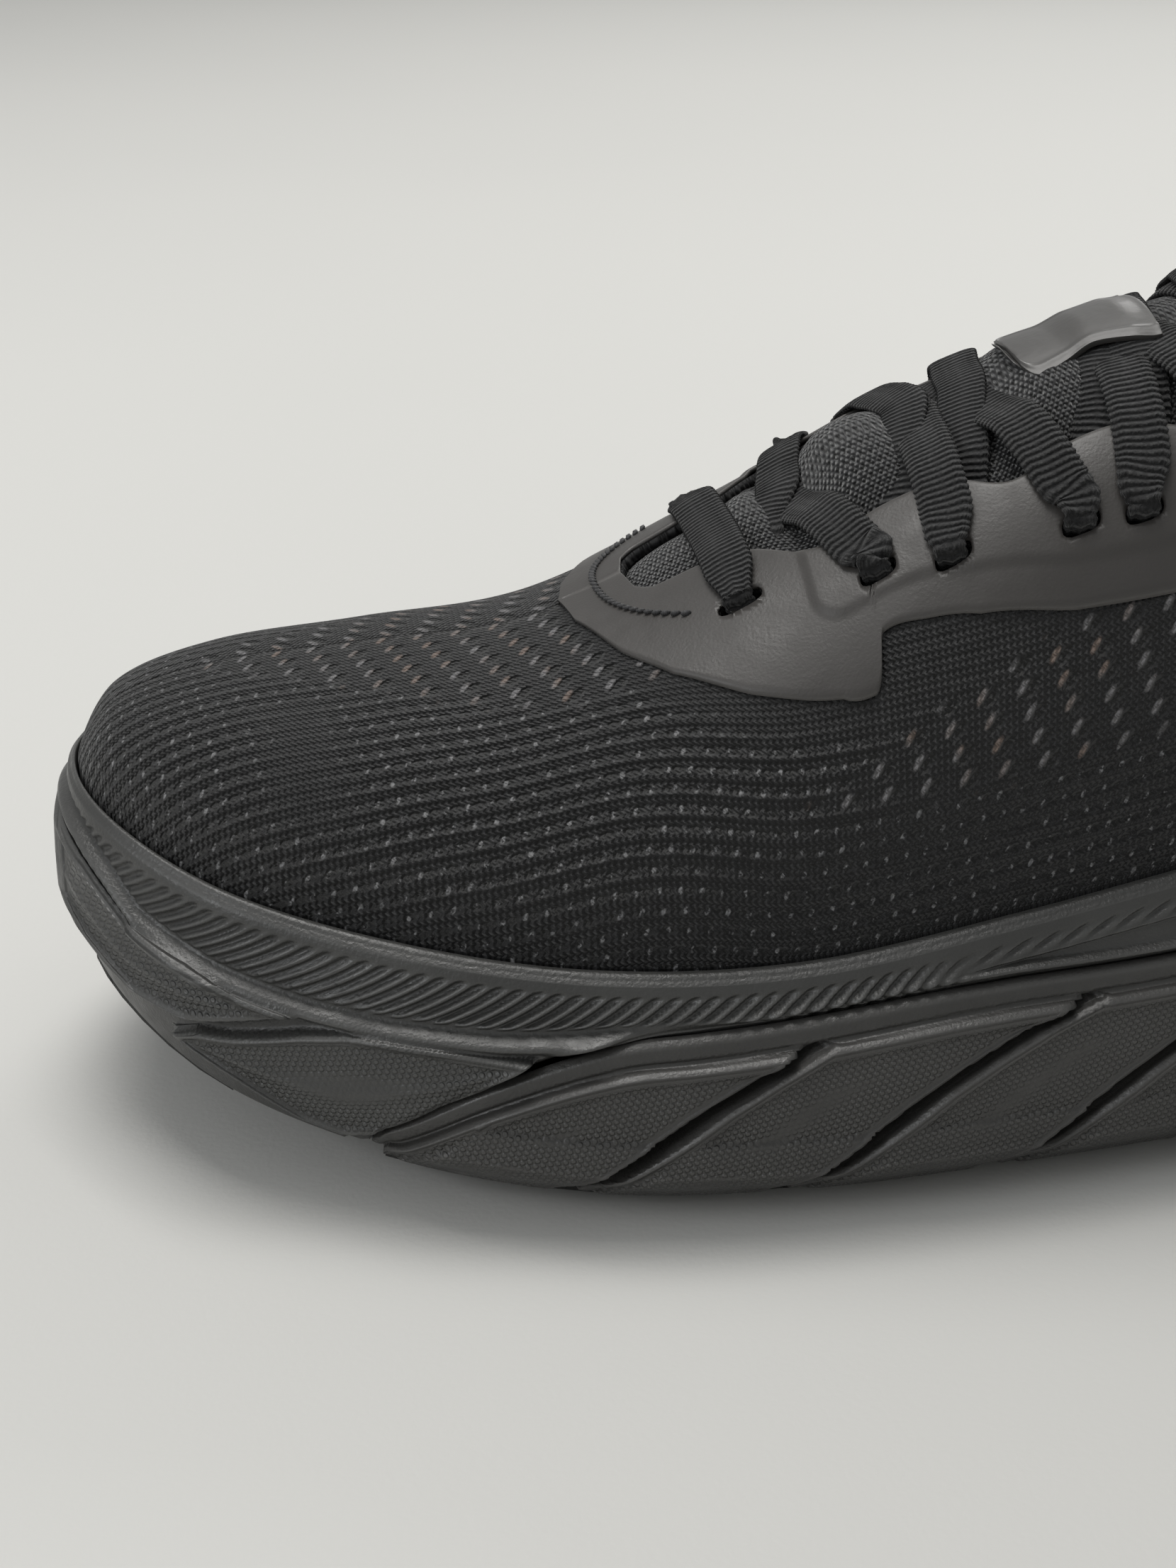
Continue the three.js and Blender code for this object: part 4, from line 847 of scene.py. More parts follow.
# ---------------------------------------------------------------------------
# Outsole: eight pads of blown rubber glued under the blocks.
# Each is ground flat where it meets the floor and moulded with a fine slanted tread.
# ---------------------------------------------------------------------------
rubber = Finish("outsole_rubber", (.022, .022, .021), .72, .35)
tread = rubber.wave(rubber.add(rubber.node("ShaderNodeSeparateXYZ", 0, Vector=rubber.place),
                               rubber.node("ShaderNodeSeparateXYZ", 1, Vector=rubber.place)), .0042)
rubber.bump(rubber.add(rubber.ease(tread, .3, .6), rubber.times(rubber.noise(1500, 3.0), .25)), .0007)
rubber.colour(rubber.mix(rubber.noise(120, 4.0), (.016, .016, .0155), (.034, .034, .032)))
for name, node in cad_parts.items():
    if name.startswith("outsole_"):
        node.data.materials.clear()
        node.data.materials.append(rubber.material)

# ---------------------------------------------------------------------------
# Foot bed: strobel board, moulded foam sockliner and its cloth cover.
# The board is stitched to the upper; the sockliner only lies on it and lifts out.
# ---------------------------------------------------------------------------
board = Finish("strobel_board_felt", (.30, .29, .27), .9, .2)
board.colour(board.mix(board.grain((1, 6, 1), 900), (.22, .215, .20), (.36, .35, .33)))
board.bump(board.grain((1, 6, 1), 1400, 3.0), .0003)
sock_foam = Finish("sockliner_foam_cells", (.05, .05, .055), .85, .25)
sock_foam.colour(sock_foam.mix(sock_foam.noise(1200, 2.0), (.035, .035, .038), (.075, .075, .08)))
sock_foam.bump(sock_foam.noise(1500, 2.0), .0003)
sock_cloth = Finish("sockliner_cover_knit", (.03, .03, .032), .9, .2)
sx, sy = (sock_cloth.node("ShaderNodeSeparateXYZ", k, Vector=sock_cloth.place) for k in (0, 1))
loops = sock_cloth.times(sock_cloth.wave(sx, .0011), sock_cloth.wave(sy, .0009))
sock_cloth.colour(sock_cloth.mix(loops, (.016, .016, .018), (.055, .055, .058)))
sock_cloth.bump(loops, .0003)
sock_cloth.sheen(.3, .5)
stiffener = Finish("stiffener_sheet", (.09, .085, .08), .7, .3)
stiffener.colour(stiffener.mix(stiffener.noise(500, 3.0), (.07, .066, .062), (.12, .115, .108)))
stiffener.bump(stiffener.noise(900, 2.0), .0001)
tape_web = Finish("eyelet_webbing", (.02, .02, .021), .85, .3)
tape_rib = tape_web.wave(tape_web.node("ShaderNodeSeparateXYZ", 0, Vector=tape_web.place), .0009)
tape_web.colour(tape_web.mix(tape_rib, (.010, .010, .011), (.040, .040, .042)))
tape_web.bump(tape_rib, .0003)
for name, finish in (("strobel_board", board), ("sockliner_foam", sock_foam),
                     ("sockliner_cover", sock_cloth), ("toe_puff", stiffener),
                     ("heel_counter", stiffener), ("eyelet_tape_lateral", tape_web),
                     ("eyelet_tape_medial", tape_web)):
    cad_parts[name].data.materials.clear()
    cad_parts[name].data.materials.append(finish.material)

# ---------------------------------------------------------------------------
# Upper: one piece of engineered knit, from the toe round to the heel.
# Knitted in black yarn with long ribs that run from the toe to the heel, rows of small
# open stitches, and two fields of bigger air holes with a grey yarn behind them.
# ---------------------------------------------------------------------------
KNIT_THICKNESS = 1.5
RIB = 2.8                        # pitch of the knit's ribs
GIRTH_STEPS, GIRTH_ROWS = 260, 60  # cells of the table of girths, along and up
girth_c = np.linspace(0, HEEL, GIRTH_STEPS + 1)
girth_t = np.linspace(0, 1, GIRTH_ROWS + 1)
girth_run, girth_along = {}, {}
for side in (OUTER, INNER):
    cc, tt = np.meshgrid(girth_c, girth_t, indexing="ij")
    lines = on_last(cc, side * (QUARTER - tt * (QUARTER - 1e-6)))
    steps = np.linalg.norm(np.diff(lines, axis=1), axis=2)
    girth_run[side] = np.concatenate([np.zeros((len(steps), 1)), np.cumsum(steps, axis=1)], 1)
    along_line = on_last(girth_c, side * 1.0)
    girth_along[side] = np.r_[0, np.cumsum(np.linalg.norm(np.diff(along_line, axis=0), axis=1))]


def girth(c, q):
    """Distance up from the lip, total from the lip to the instep line, and along the shoe."""
    up = np.empty_like(c)
    total = np.empty_like(c)
    along = np.empty_like(c)
    for side in (OUTER, INNER):
        mine = (q < 0) if side == OUTER else (q >= 0)
        table = girth_run[side]
        i = np.clip(c[mine] / HEEL * GIRTH_STEPS, 0, GIRTH_STEPS - .001)
        j = np.clip((QUARTER - np.abs(q[mine])) / QUARTER * GIRTH_ROWS, 0, GIRTH_ROWS - .001)
        i0, j0 = i.astype(int), j.astype(int)
        fi, fj = i - i0, j - j0
        up[mine] = ((table[i0, j0] * (1 - fi) + table[i0 + 1, j0] * fi) * (1 - fj)
                    + (table[i0, j0 + 1] * (1 - fi) + table[i0 + 1, j0 + 1] * fi) * fj)
        total[mine] = table[i0, GIRTH_ROWS] * (1 - fi) + table[i0 + 1, GIRTH_ROWS] * fi
        along[mine] = np.interp(c[mine], girth_c, girth_along[side])
    return up, total, along


KNIT_ROWS = 46


def knit_place(u, v):
    c, side, _ = around(u)
    throat = np.where(c < THROAT[0][0], 0, curve_value(THROAT, c))
    climb = np.clip((v * KNIT_ROWS - 1) / (KNIT_ROWS - 1), 0, 1)
    q = side * (QUARTER - climb * (QUARTER - throat))
    return c, side, np.where(q == 0, side * 1e-9, q)


def knit_shape(u, v):
    c, side, q = knit_place(u, v)
    col = sole_column(c, side)
    p = on_last(c, q)
    tuck = plan_point(c, side, col["lip"], col["bed"] - BOARD_THICKNESS)
    return np.where((v * KNIT_ROWS < .5)[:, None], tuck, p)


def knit_cloth(u, v):
    c, side, q = knit_place(u, v)
    up, total, along = girth(c, q)
    station_4 = 4 * GIRTH_STEPS // HEEL
    four = np.where(side < 0, *(girth_run[s][station_4, GIRTH_ROWS] for s in (OUTER, INNER)))
    return (total - up) + smooth_step(c, 3.5, 5) * (four - total), along


def vent_mark(u, v):
    """Where the two fields of air holes are: 1 inside them."""
    c, _, q = knit_place(u, v)
    p = on_last(c, q)
    up, _, _ = girth(c, q)
    x, aq = p[:, 0], np.abs(q)
    low = np.interp(x, [-130, -122, -105, -88, -72, -56, -50], [.0, .16, .34, .47, .56, .56, .44])
    high = np.interp(x, [-130, -78, -68, -56, -50], [-.1, -.1, .12, .34, .44])
    vamp = np.minimum(low - aq, aq - high) * 28
    mid = np.interp(x, [-48, -20, 10, 60, 140], [21, 27, 34, 42, 42])
    half = np.interp(x, [-48, -30, -10, 20, 90, 130], [0, 6, 10, 13, 12, 0])
    quarter = half - np.abs(up - mid)
    return smooth_step(np.maximum(vamp, quarter), 0, 1.5)


def fine_mark(u, v):
    """Where the knit is plain and close: behind the toe and round the throat."""
    c, _, q = knit_place(u, v)
    x = on_last(c, q)[:, 0]
    aq = np.abs(q)
    toe_band = bump_line(x + 113, 7) * smooth_step(aq, .25, .5) * (1 - smooth_step(aq, 1.0, 1.25))
    edge = curve_value([(4.1, 0), (4.14, .14), (4.3, .38), (4.5, .56), (4.82, .76), (5.3, .92),
                        (5.8, .92), (6.2, .96), (6.8, 1.02), (7.8, 1.03), (13, 1.1)], c)
    near_film = (1 - smooth_step(aq - edge, .08, .2)) * smooth_step(c, 3.7, 4.2)
    return np.maximum(toe_band, near_film)


def eyelet_reach(c, q, depth):
    """Distance to the nearest eyelet's middle, 1 on its rim, and where that middle is."""
    best, middle = np.full(c.shape, 9.0), np.zeros(c.shape + (3,))
    for eyelet_c, eyelet_q in EYELETS:
        centre = on_last(eyelet_c, -eyelet_q)
        pitch = np.linalg.norm(on_last(eyelet_c + .02, -eyelet_q) - centre) / .02
        rise = np.linalg.norm(on_last(eyelet_c, -eyelet_q - .02) - centre) / .02
        wide = 2.8 if eyelet_c > 4.9 else 3.5
        along, up = (c - eyelet_c) * pitch, (np.abs(q) - eyelet_q) * rise
        reach = (np.abs(along / wide) ** 3 + np.abs(up / 1.5) ** 3) ** (1 / 3)
        for side in (OUTER, INNER):
            near = (reach < best) & (np.sign(q) == side)
            middle[near] = on_last(eyelet_c, side * eyelet_q, depth)
        best = np.minimum(best, reach)
    return best, middle


knit = Finish("engineered_knit", (.012, .012, .013), .62, .42)
over, along = knit.sheet("Cloth")
vents, fine = knit.mark("vents"), knit.mark("fine")
rib_wave = knit.wave(over, RIB)
chevron = knit.math("ABSOLUTE", knit.less(knit.math("FRACT", knit.times(over, 1 / 1.05)), .5))
stitch = knit.times(knit.wave(knit.add(along, knit.times(chevron, .9)), .95),
                    knit.add(knit.times(knit.wave(over, 1.05), .75), .25))
pricks = knit.dots(knit.add(over, RIB / 2), along, RIB, 3.1, 1.25, 2.0)
glint_along = knit.less(knit.add(along, knit.times(over, .35)), .8)
glint = knit.dots(knit.add(over, RIB / 2), glint_along, RIB, 3.1, 1.2, .8)
leaned = knit.add(along, knit.times(over, .55))
holes = knit.dots(over, leaned, 3.5, 6.0, 2.5, 2.0)
behind = knit.dots(knit.add(over, .4), knit.add(leaned, 1.45), 3.5, 6.0, 2.2, 1.25)
plain = knit.less(1.0, fine)
ribbed = knit.times(plain, knit.less(1.0, vents))
mottle = knit.noise(700, 3.0)
height = knit.add(knit.times(knit.times(rib_wave, knit.add(knit.times(ribbed, .75), .15)), 1.0),
                  knit.times(stitch, .7))
height = knit.less(height, knit.times(knit.times(pricks, ribbed), .8))
height = knit.less(height, knit.times(knit.times(holes, vents), 1.3))
height = knit.add(height, knit.times(mottle, .12))
knit.bump(height, .0010)
black = knit.mix(knit.times(stitch, knit.ease(mottle, .35, .75)), (.0025, .0025, .003),
                 (.040, .040, .042))
sparkle = knit.ease(knit.noise(1300, 2.0), .45, .60)
black = knit.mix(knit.times(knit.times(glint, ribbed), knit.times(sparkle, .9)), black, (.22, .22, .225))
# Painted shade: the small open stitches and the air holes are drawn near black, standing for the shadow
# inside the openings.
black = knit.mix(knit.times(knit.times(pricks, ribbed), knit.less(1.0, glint)), black, (.003, .003, .003))
black = knit.mix(knit.times(knit.times(holes, vents), .97), black, (.002, .002, .002))
grey_yarn = knit.mix(knit.ease(knit.noise(110, 1.0), .45, .62), (.20, .195, .20), (.20, .15, .125))
black = knit.mix(knit.times(knit.times(behind, vents), .8), black, grey_yarn)
knit.colour(black)
knit.sheen(.10, .35)


def knit_holes(u, v):
    c, _, q = knit_place(u, v)
    return eyelet_reach(c, q, 0)


upper = mapped_sheet(
    "knit_upper", (960, KNIT_ROWS), knit_shape, knit, knit_cloth,
    marks={"vents": vent_mark, "fine": fine_mark}, holes=knit_holes,
    modifiers=[("SOLIDIFY", {"thickness": KNIT_THICKNESS * MM, "offset": -1})])
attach(upper, "shoe")
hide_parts("upper_knit")

# ---------------------------------------------------------------------------
# Eyestay: a thin satin film fused round the throat.
# Its edge is melted into the knit, a step is pressed into it below the eyelets, and each
# eyelet is a slot punched through film, knit and webbing.
# ---------------------------------------------------------------------------
FILM_EDGE = [(4.1, 0), (4.14, .14), (4.3, .38), (4.5, .56), (4.82, .76), (5.2, .90),
             (5.34, .935), (5.37, .90), (5.395, .77), (5.6, .80), (5.8, .86), (6.2, .96),
             (6.8, 1.02), (7.3, 1.04), (7.8, 1.03), (8.2, 1.06)]
# Lower edge of the raised panel pressed into the film: station, angle from the instep line.
STEP_EDGE = [(5.0, .61), (5.15, .645), (5.46, .655), (5.6, .67), (5.8, .73), (6.2, .83), (6.8, .89),
             (7.8, .91)]
FILM_TOP = .75                   # of its outer face over the knit's
FILM_WALL = [("SOLIDIFY", {"thickness": .0006, "offset": -1})]


def film_place(u, v):
    side = np.where(u < .5, OUTER, INNER)
    c = 4.1 + 3.6 * np.abs(2 * u - 1) ** 1.25
    inner = np.where(c < THROAT[0][0], 0, curve_value(THROAT, c))
    outer = curve_value(FILM_EDGE, c)
    q = side * (outer + (inner - outer) * v)
    return c, np.where(q == 0, side * 1e-9, q)


def film_shape(u, v):
    c, q = film_place(u, v)
    aq = np.abs(q)
    sink = .45 * (1 - smooth_step(v, 0, .035)) + .25 * smooth_step(v, .97, 1)
    below, behind = (curve_value(STEP_EDGE, c) - aq) * 38, (c - 5.14) * 32
    corner = 4.0 - np.hypot(np.minimum(below - 4, 0), np.minimum(behind - 4, 0))
    inside = np.where((below > 4) & (behind > 4), 4.0, corner)
    panel = .42 * smooth_step(inside, -.6, .9)
    return on_last(c, q, -(FILM_TOP - sink + panel))


def film_rim(u, v):
    return 1 - smooth_step(np.minimum(v, (1 - v) * 1.3), .0, .03)


film = Finish("satin_film", (.050, .0465, .044), .42, .5)
satin = film.mix(film.noise(60, 3.0), (.036, .033, .031), (.049, .0455, .043))
film.colour(film.mix(film.times(film.mark("rim"), .6), satin, (.13, .125, .12)))
film.bump(film.add(film.times(film.noise(2200, 2.0), .6), film.times(film.noise(400, 2.0), .4)), .00007)
film.rough(film.ease(film.noise(220, 3.0), .3, .7, .40, .52))
eyestay = mapped_sheet(
    "eyestay", (860, 44), film_shape, film, marks={"rim": film_rim},
    holes=lambda u, v: eyelet_reach(*film_place(u, v), -FILM_TOP),
    modifiers=FILM_WALL)
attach(eyestay, "shoe")
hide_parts("eyestay_film")

# The rope stitch that holds the film down round the front of the throat.
thread = Finish("stitching_thread", (.010, .010, .011), .6, .4)
thread.colour(thread.mix(thread.grain((4, 1, 1), 1500), (.006, .006, .007), (.075, .075, .078)))
thread.bump(thread.grain((4, 1, 1), 2500), .0001)


def stitches(name, path, length, width, lean, body="shoe"):
    """Short slanted stitches, one at each point of the path."""
    bm = bmesh.new()
    heading = np.gradient(path, axis=0)
    for place, way in zip(path, heading):
        made = bmesh.ops.create_icosphere(bm, subdivisions=1, radius=.5)["verts"]
        bmesh.ops.scale(bm, verts=made, vec=(length * MM, width * MM, width * .8 * MM))
        spin = Vector((1, 0, 0)).rotation_difference(Vector(way) + lean * Vector((-way[1], way[0], 0)))
        bmesh.ops.rotate(bm, verts=made, matrix=spin.to_matrix())
        bmesh.ops.translate(bm, verts=made, vec=Vector(place) * MM)
    mesh = bpy.data.meshes.new(name)
    bm.to_mesh(mesh)
    bm.free()
    mesh.shade_smooth()
    mesh.materials.append(thread.material)
    piece = bpy.data.objects.new(name, mesh)
    bpy.context.scene.collection.objects.link(piece)
    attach(piece, body)
    return piece


run = np.linspace(-1, 1, 34)
rope = on_last(4.29 + .33 * np.abs(run) ** 2.2, run * .36, -FILM_TOP - .25)
stitches("throat_rope_stitch", rope, 1.8, 1.0, .7)

# ---------------------------------------------------------------------------
# Heel: a film over the heel counter, a padded collar and a webbing pull tab.
# The collar is foam wrapped in knitted lining and stitched to the knit's top edge.
# ---------------------------------------------------------------------------
def heel_place(u, v):
    side = np.where(u < .5, OUTER, INNER)
    c = HEEL - 2.5 * np.abs(2 * u - 1)
    edge = QUARTER - curve_value(THROAT, c)
    top = .1 + edge * .72 * smooth_step(c, 10.5, 12.7)
    return c, side * (QUARTER - (.06 + (top - .06) * v))


def heel_shape(u, v):
    c, q = heel_place(u, v)
    sink = .5 * (1 - smooth_step(np.minimum(v, 1 - v), 0, .05))
    ridge = .3 * bump_line(v - .72, .05) + .3 * bump_line(v - .35, .05)
    return on_last(c, q, -(FILM_TOP - sink + ridge - .15))


heel_film = mapped_sheet(
    "heel_overlay", (260, 50), heel_shape, film,
    marks={"rim": lambda u, v: 1 - smooth_step(np.minimum(v, 1 - v), 0, .04)},
    modifiers=FILM_WALL)
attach(heel_film, "shoe")
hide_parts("heel_film")

lining = Finish("lining_knit", (.028, .028, .030), .92, .2)
l_over, l_along = lining.sheet("Cloth")
cell = lining.times(lining.wave(l_over, 1.3), lining.wave(l_along, 1.5))
open_cells = lining.dots(l_over, l_along, 2.6, 3.0, 1.2, 1.3)
lining.bump(lining.less(cell, lining.times(open_cells, .9)), .00045)
lining.colour(lining.mix(open_cells, lining.mix(cell, (.014, .014, .015), (.045, .045, .047)),
                         (.005, .005, .005)))
lining.sheen(.4, .45)
COLLAR_START = 8.0


def collar_shape(u, v):
    """A closed pad: v goes round its section, from its foot up the outside and down."""
    side = np.where(u < .5, OUTER, INNER)
    c = HEEL - (HEEL - COLLAR_START) * np.abs(2 * u - 1)
    edge = QUARTER - curve_value(THROAT, c)
    angle = v * 2 * math.pi
    middle, half = .735, .262
    climb = middle - np.cos(angle) * half
    thick = 3.45 * smooth_step(c, COLLAR_START - .05, COLLAR_START + .9) + .1
    round_off = np.sign(np.sin(angle)) * np.abs(np.sin(angle)) ** .6
    puff = 1 + .06 * np.sin(np.maximum(c - 8, 0) * 5.2)
    depth = 5.3 - round_off * thick * puff
    seam = .7 * bump_line(climb - .93, .02) * (round_off < 0)
    return on_last(c, side * (QUARTER - edge * climb), np.maximum(depth - seam, 1.75))


def collar_cloth(u, v):
    return v * 90, np.abs(2 * u - 1) * 140


collar = mapped_sheet("collar_padding", (300, 60), collar_shape, lining, collar_cloth, closed=True)
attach(collar, "shoe")
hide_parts("collar_foam", "collar_lining")

collar_c = np.linspace(8.1, 12.98, 96)
for side, label in ((OUTER, "lateral"), (INNER, "medial")):
    edge = curve_value(THROAT, collar_c)
    stitches(f"collar_stitch_{label}", on_last(collar_c, side * (edge + .05), -.05), 1.9, .5, 0)

# The pull tab: a loop of narrow webbing, sewn to itself.
tab_low, tab_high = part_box("heel_pull_tab")
tab_mid = (np.array(tab_low) + np.array(tab_high)) / 2 / MM
TAB_WIDTH, TAB_HEIGHT, TAB_DEPTH, TAB_WEB = 16, 17, 9, 1.6


def tab_shape(u, v):
    """A racetrack of webbing: u goes round the loop and v round the webbing's section."""
    half, straight = (TAB_DEPTH - TAB_WEB) / 2, TAB_HEIGHT - TAB_DEPTH
    lap = 2 * math.pi * half + 2 * straight
    at = u * lap
    bend = math.pi * half
    lower = at < bend
    rise1 = (at >= bend) & (at < bend + straight)
    upper = (at >= bend + straight) & (at < 2 * bend + straight)
    turn_low = at / half
    turn_high = (at - bend - straight) / half
    px = np.select([lower, rise1, upper], [-half * np.cos(turn_low), half, half * np.cos(turn_high)], -half)
    pz = np.select([lower, rise1, upper],
                   [-straight / 2 - half * np.sin(turn_low), -straight / 2 + (at - bend),
                    straight / 2 + half * np.sin(turn_high)],
                   straight / 2 - (at - 2 * bend - straight))
    nx = np.select([lower, rise1, upper], [-np.cos(turn_low), 1, np.cos(turn_high)], -1)
    nz = np.select([lower, rise1, upper], [-np.sin(turn_low), 0, np.sin(turn_high)], 0)
    angle = v * 2 * math.pi
    wide = np.sign(np.cos(angle)) * np.abs(np.cos(angle)) ** .35 * TAB_WIDTH / 2
    thick = np.sign(np.sin(angle)) * np.abs(np.sin(angle)) ** .8 * TAB_WEB / 2
    thick = thick * (1 + .06 * np.cos(at * 2 * math.pi / 1.4))
    return np.stack([tab_mid[0] + px + nx * thick, tab_mid[1] + wide, tab_mid[2] + pz + nz * thick], -1)


tab = mapped_sheet("pull_tab_webbing", (220, 28), tab_shape, lace_finish,
                   lambda u, v: (np.abs(v - .5) * 32, u * 46), closed=False)
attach(tab, "pull_tab")
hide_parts("heel_pull_tab")

# ---------------------------------------------------------------------------
# Tongue: foam between two layers of open basket knit, bound round its edge.
# It is sewn down under the front of the throat.
# ---------------------------------------------------------------------------
TONGUE_THICKNESS, TONGUE_DEPTH = 5, 5.7
TONGUE_START, TONGUE_END = 4.3, 8.75
THROAT_END = 7.1                 # station where the tongue starts to narrow
TONGUE_LAP = .2                  # angle that each of its edges lies under the throat
# Depth of its face at the throat's edge.
TONGUE_SIDE = [(4.3, 1.9), (4.7, 1.9), (5.0, 2.6), (8.75, 2.6)]
# Height of its middle over the instep line: the lace presses it down, and it puffs up between.
TONGUE_RISE = [(4.3, -1.9), (4.45, -.9), (4.62, .1), (4.85, .1), (5.0, 1.0), (5.08, .2),
               (5.17, -2), (5.28, -.5), (5.42, 3.0), (5.6, 2.4), (5.76, -1.2), (5.87, -1),
               (6.0, -2.2), (6.12, -.6), (6.25, 1.4), (6.42, 1.2), (6.62, -1.6), (6.9, 0),
               (7.12, -1.4), (7.5, -2.2), (8.75, -3.7)]


def tongue_half(c):
    under = curve_value(THROAT, np.minimum(c, THROAT_END)) + TONGUE_LAP
    return np.where(c > THROAT_END, under - TONGUE_LAP * smooth_step(c, THROAT_END, 8.6), under)


def tongue_shape(u, v):
    """v goes round the tongue's section; u runs from its base to its rounded top."""
    c = TONGUE_START + (TONGUE_END - TONGUE_START) * u
    angle = v * 2 * math.pi
    across = -np.cos(angle)
    flat = np.sign(across) * np.abs(across) ** .8
    corner = np.sqrt(np.clip(1 - (np.clip(c - 8.35, 0, .4) / .4) ** 2, 0, 1)) * .55 + .45
    half = tongue_half(c) * np.where(c > 8.35, corner, 1)
    q = flat * half
    throat = np.maximum(curve_value(THROAT, np.minimum(c, THROAT_END)), .05)
    share = np.minimum(np.abs(q) / throat, 1)
    dome = np.cos(QUARTER * share) ** .9
    top = curve_value(TONGUE_SIDE, c) * (1 - dome) - curve_value(TONGUE_RISE, c) * dome
    quilt = .35 * bump_line(np.mod(c, .62) - .31, .035) * (c > 7.2) * (np.abs(flat) < .8)
    bottom = TONGUE_DEPTH - 2 * dome + TONGUE_THICKNESS
    rounding = np.abs(np.sin(angle)) ** .45 * np.sign(np.sin(angle))
    end = np.sqrt(np.clip(1 - np.clip((c - 8.6) / .15, 0, 1) ** 2, 0, 1)) * .9 + .1
    depth = (top + bottom) / 2 - rounding * (bottom - top) / 2 * end + quilt * (rounding > 0)
    return on_last(c, np.where(q == 0, 1e-9, q), depth)


def tongue_cloth(u, v):
    c = TONGUE_START + (TONGUE_END - TONGUE_START) * u
    return np.abs(v - .5) * 110, (c - TONGUE_START) * 35


basket = Finish("tongue_basket_knit", (.03, .03, .031), .88, .3)
b_over, b_along = basket.sheet("Cloth")
one_way, other_way = basket.add(b_over, b_along), basket.less(b_over, b_along)
check = basket.times(basket.wave(one_way, .85), basket.wave(other_way, .85))
gaps = basket.dots(b_over, b_along, 1.2, 1.25, .7, .7)
basket.bump(basket.less(check, basket.times(gaps, .6)), .00055)
yarns = basket.mix(basket.times(check, basket.noise(800, 2.0)), (.010, .010, .011), (.062, .062, .063))
basket.colour(basket.mix(gaps, yarns, (.004, .004, .004)))
basket.sheen(.35, .4)
tongue = mapped_sheet("tongue", (240, 96), tongue_shape, basket, tongue_cloth, closed=True)
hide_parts("tongue_base", "tongue_top")
fold_low, fold_high = on_last(7.45, 0.0), on_last(8.1, 0.0)
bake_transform(tongue)

# The keeper: a moulded strip bonded to the tongue, arched so that the lace passes under.
keeper_finish = Finish("keeper_moulding", (.05, .048, .046), .44, .5)
keeper_finish.colour(keeper_finish.mix(keeper_finish.noise(90, 2.0), (.046, .044, .042), (.06, .058, .056)))
keeper_finish.bump(keeper_finish.noise(700, 2.0), .00006)
keeper_finish.shader.inputs["Coat Weight"].default_value = .08


def keeper_shape(u, v):
    c = 6.22 + .6 * v
    arch = -2.5 - .9 * smooth_step(v, .3, .55) * (1 - .7 * smooth_step(v, .8, 1))
    y = (u - .5) * 2 * 10.5
    crown = on_last(c, 1e-9, arch)
    rounded = np.sqrt(np.clip(1 - np.clip(1 - v / .16, 0, 1) ** 2, 0, 1)) ** .6
    waist = (1 - .22 * np.sin(math.pi * v) ** 2) * rounded
    droop = (y * waist) ** 2 / 46
    return np.stack([crown[:, 0], crown[:, 1] + y * waist,
                     crown[:, 2] - droop + .25 * bump_line(np.abs(u - .5) - .42, .03)], -1)


keeper = mapped_sheet("lace_keeper", (60, 50), keeper_shape, keeper_finish,
                      modifiers=[("SOLIDIFY", {"thickness": .0009, "offset": -1}),
                                 ("BEVEL", {"width": .0003, "segments": 2})])
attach(keeper, "shoe")
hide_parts("tongue_keeper")

# ---------------------------------------------------------------------------
# Lace: one flat woven lace, a straight bar over the first eyelets and then crossed,
# going down through each eyelet and turning over as it does.
# ---------------------------------------------------------------------------
FILM_LIFT, TAPE_THICKNESS, LACE_PINCH = .45, .8, 4.4
LACE_UNDER = KNIT_THICKNESS + FILM_LIFT + TAPE_THICKNESS + 1.5 * GAP
LACE_ABOVE = -(FILM_TOP + GAP / 2 + LACE_THICKNESS / 2)
LACE_BELOW = LACE_UNDER + LACE_THICKNESS / 2


def narrowest_throat(c):
    return min(float(curve_value(THROAT, c + step)) for step in (-.15, -.07, 0, .07, .15))


def stop(side, c, q, depth, face, width=LACE_WIDTH):
    q = side * q if q else 1e-9
    return on_last(c, q, depth), last_normal(c, q) * face, width


def through_eyelet(side, c, q, face):
    normal = last_normal(c, side * q)
    along = on_last(c, side * (q + .05)) - on_last(c, side * (q - .05))
    along /= np.linalg.norm(along)
    return [(on_last(c, side * q) - normal * depth + along * slope, along * face, LACE_PINCH)
            for depth, slope in ((LACE_ABOVE - .6, -.7), (-1, 0), (KNIT_THICKNESS, 0),
                                 (LACE_BELOW + .4, -.3))]


# Station where each run crosses the tongue's middle.
CROSSINGS = [5.17, 5.76, 6.0, 6.62, 6.74, 7.12]
CROSSING_DEPTH = [.8, -.2, 1.0, .2, -.1, -.5]


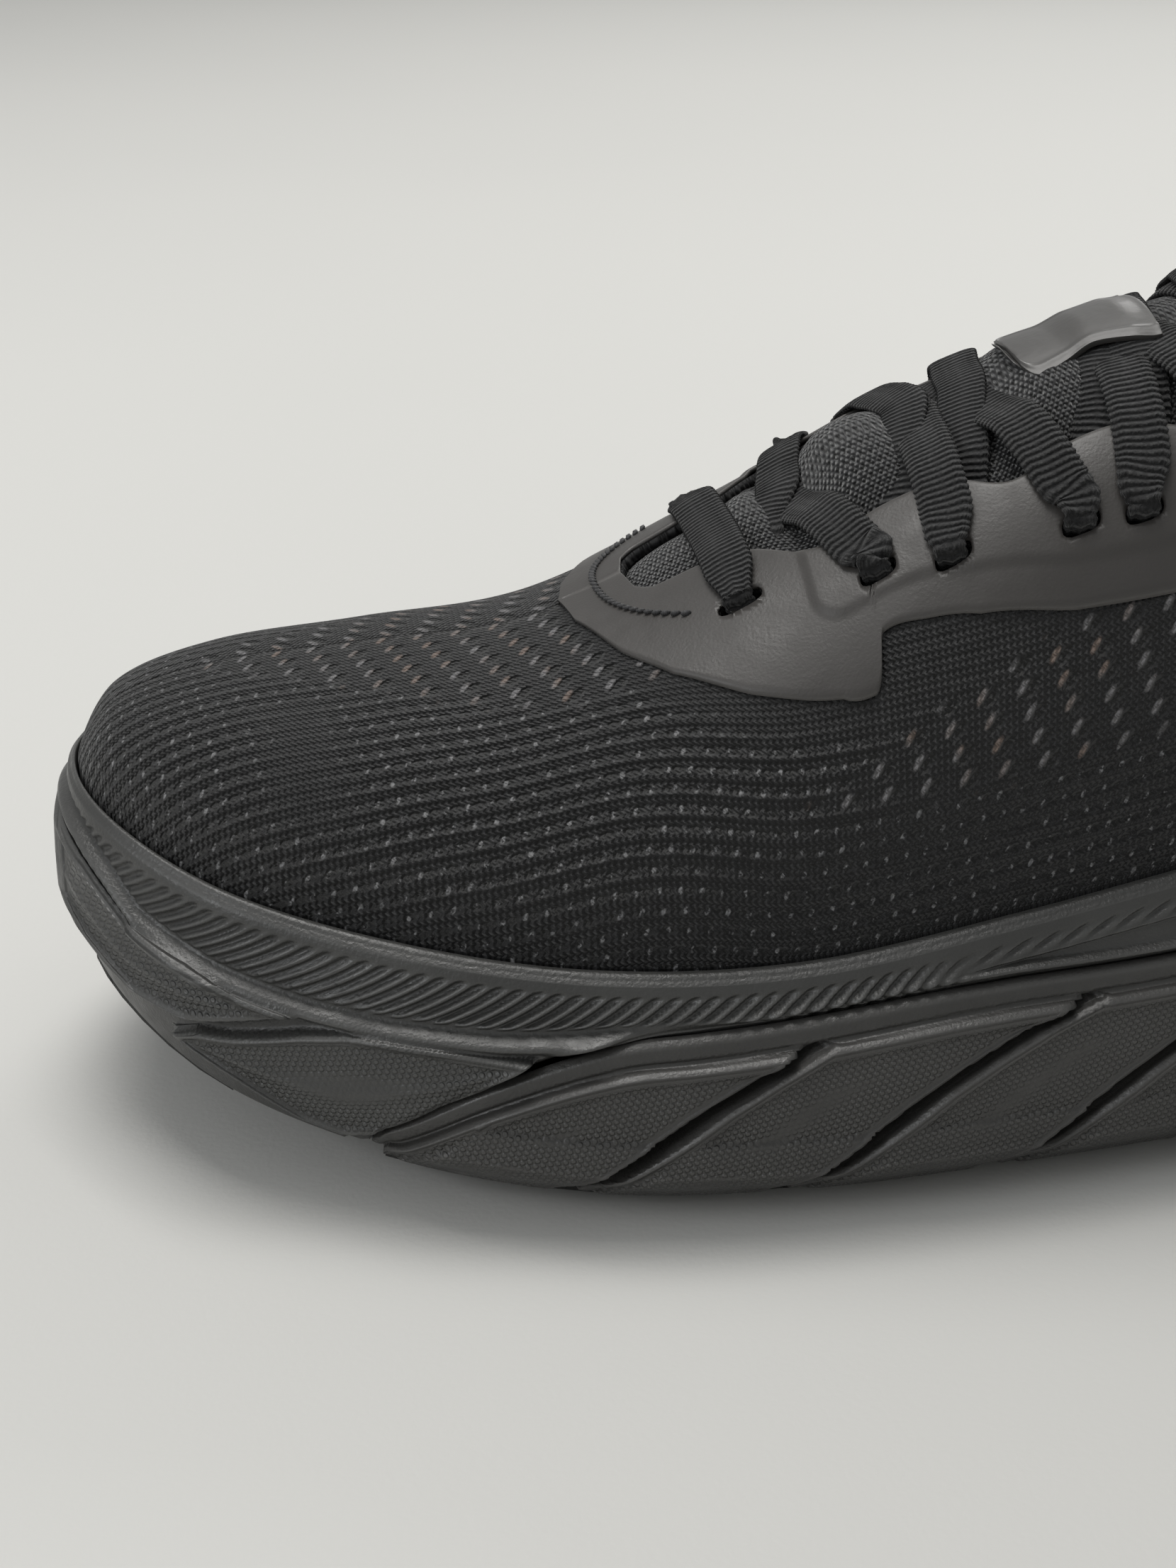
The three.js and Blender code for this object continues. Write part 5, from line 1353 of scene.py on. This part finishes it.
def lace_way(first_side, over):
    """Half the lace. over is 1 for the half that crosses on top and -1 for the other."""
    side, face, stops = first_side, 1, []
    for i, (c, q) in enumerate(EYELETS):
        stops += through_eyelet(side, c, q, face)
        face = -face
        last = i == len(EYELETS) - 1
        gap = .3 if last else EYELETS[i + 1][0] - c
        edge = narrowest_throat(c + gap * .2)
        for k, (at, depth) in enumerate(((q - .06, LACE_BELOW + .15), ((q + edge) / 2, LACE_BELOW - .4),
                                         (edge, 2.2), (edge * .75, 1.2),
                                         (edge * .4, CROSSING_DEPTH[min(i, 5)] + .3 - over * .35))):
            reach = .3 if last else CROSSINGS[i] - c
            stops.append(stop(side, c + reach * .14 * (k + 1), at, depth, face))
        if last:
            break
        c2, q2 = EYELETS[i + 1]
        stops.append(stop(side, CROSSINGS[i], 0, CROSSING_DEPTH[i] - over * .7, face))
        edge = narrowest_throat(c2 - gap * .2)
        for k, (at, depth) in enumerate(((edge * .35, CROSSING_DEPTH[i] - .4 - over * .4), (edge * .65, -1.1),
                                         (edge, LACE_ABOVE - .2), ((q2 + edge) / 2, LACE_ABOVE - .3))):
            near = CROSSINGS[i] + (c2 - CROSSINGS[i]) * (k + 1) / 5
            stops.append(stop(-side, near, at, depth, face))
        stops.append(stop(-side, c2 - .01, q2 - .075, LACE_ABOVE - .5, face, 6.4))
        side, over = -side, -over
    return [np.array(part) for part in zip(*stops)]


lace_parts = []
for side, over, label in ((OUTER, 1, "a"), (INNER, -1, "b")):
    points, normals, widths = lace_way(side, over)
    lace_parts.append(woven_lace(f"lace_half_{label}", points, normals, widths)[0])
c, q = EYELETS[0]
edge = float(curve_value(THROAT, c))
bar = []
for at in (-q, -edge - .08, -edge, -edge * .4, edge * .4, edge, edge + .08, q):
    depth = LACE_ABOVE - .2 if abs(at) > edge - .01 else LACE_ABOVE + .6
    bar.append((on_last(c, at, depth), last_normal(c, at), LACE_PINCH if abs(at) == q else LACE_WIDTH))
lace_parts.append(woven_lace("lace_bar", *[np.array(part) for part in zip(*bar)])[0])
for part in lace_parts:
    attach(part, "shoe")
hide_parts("lace")
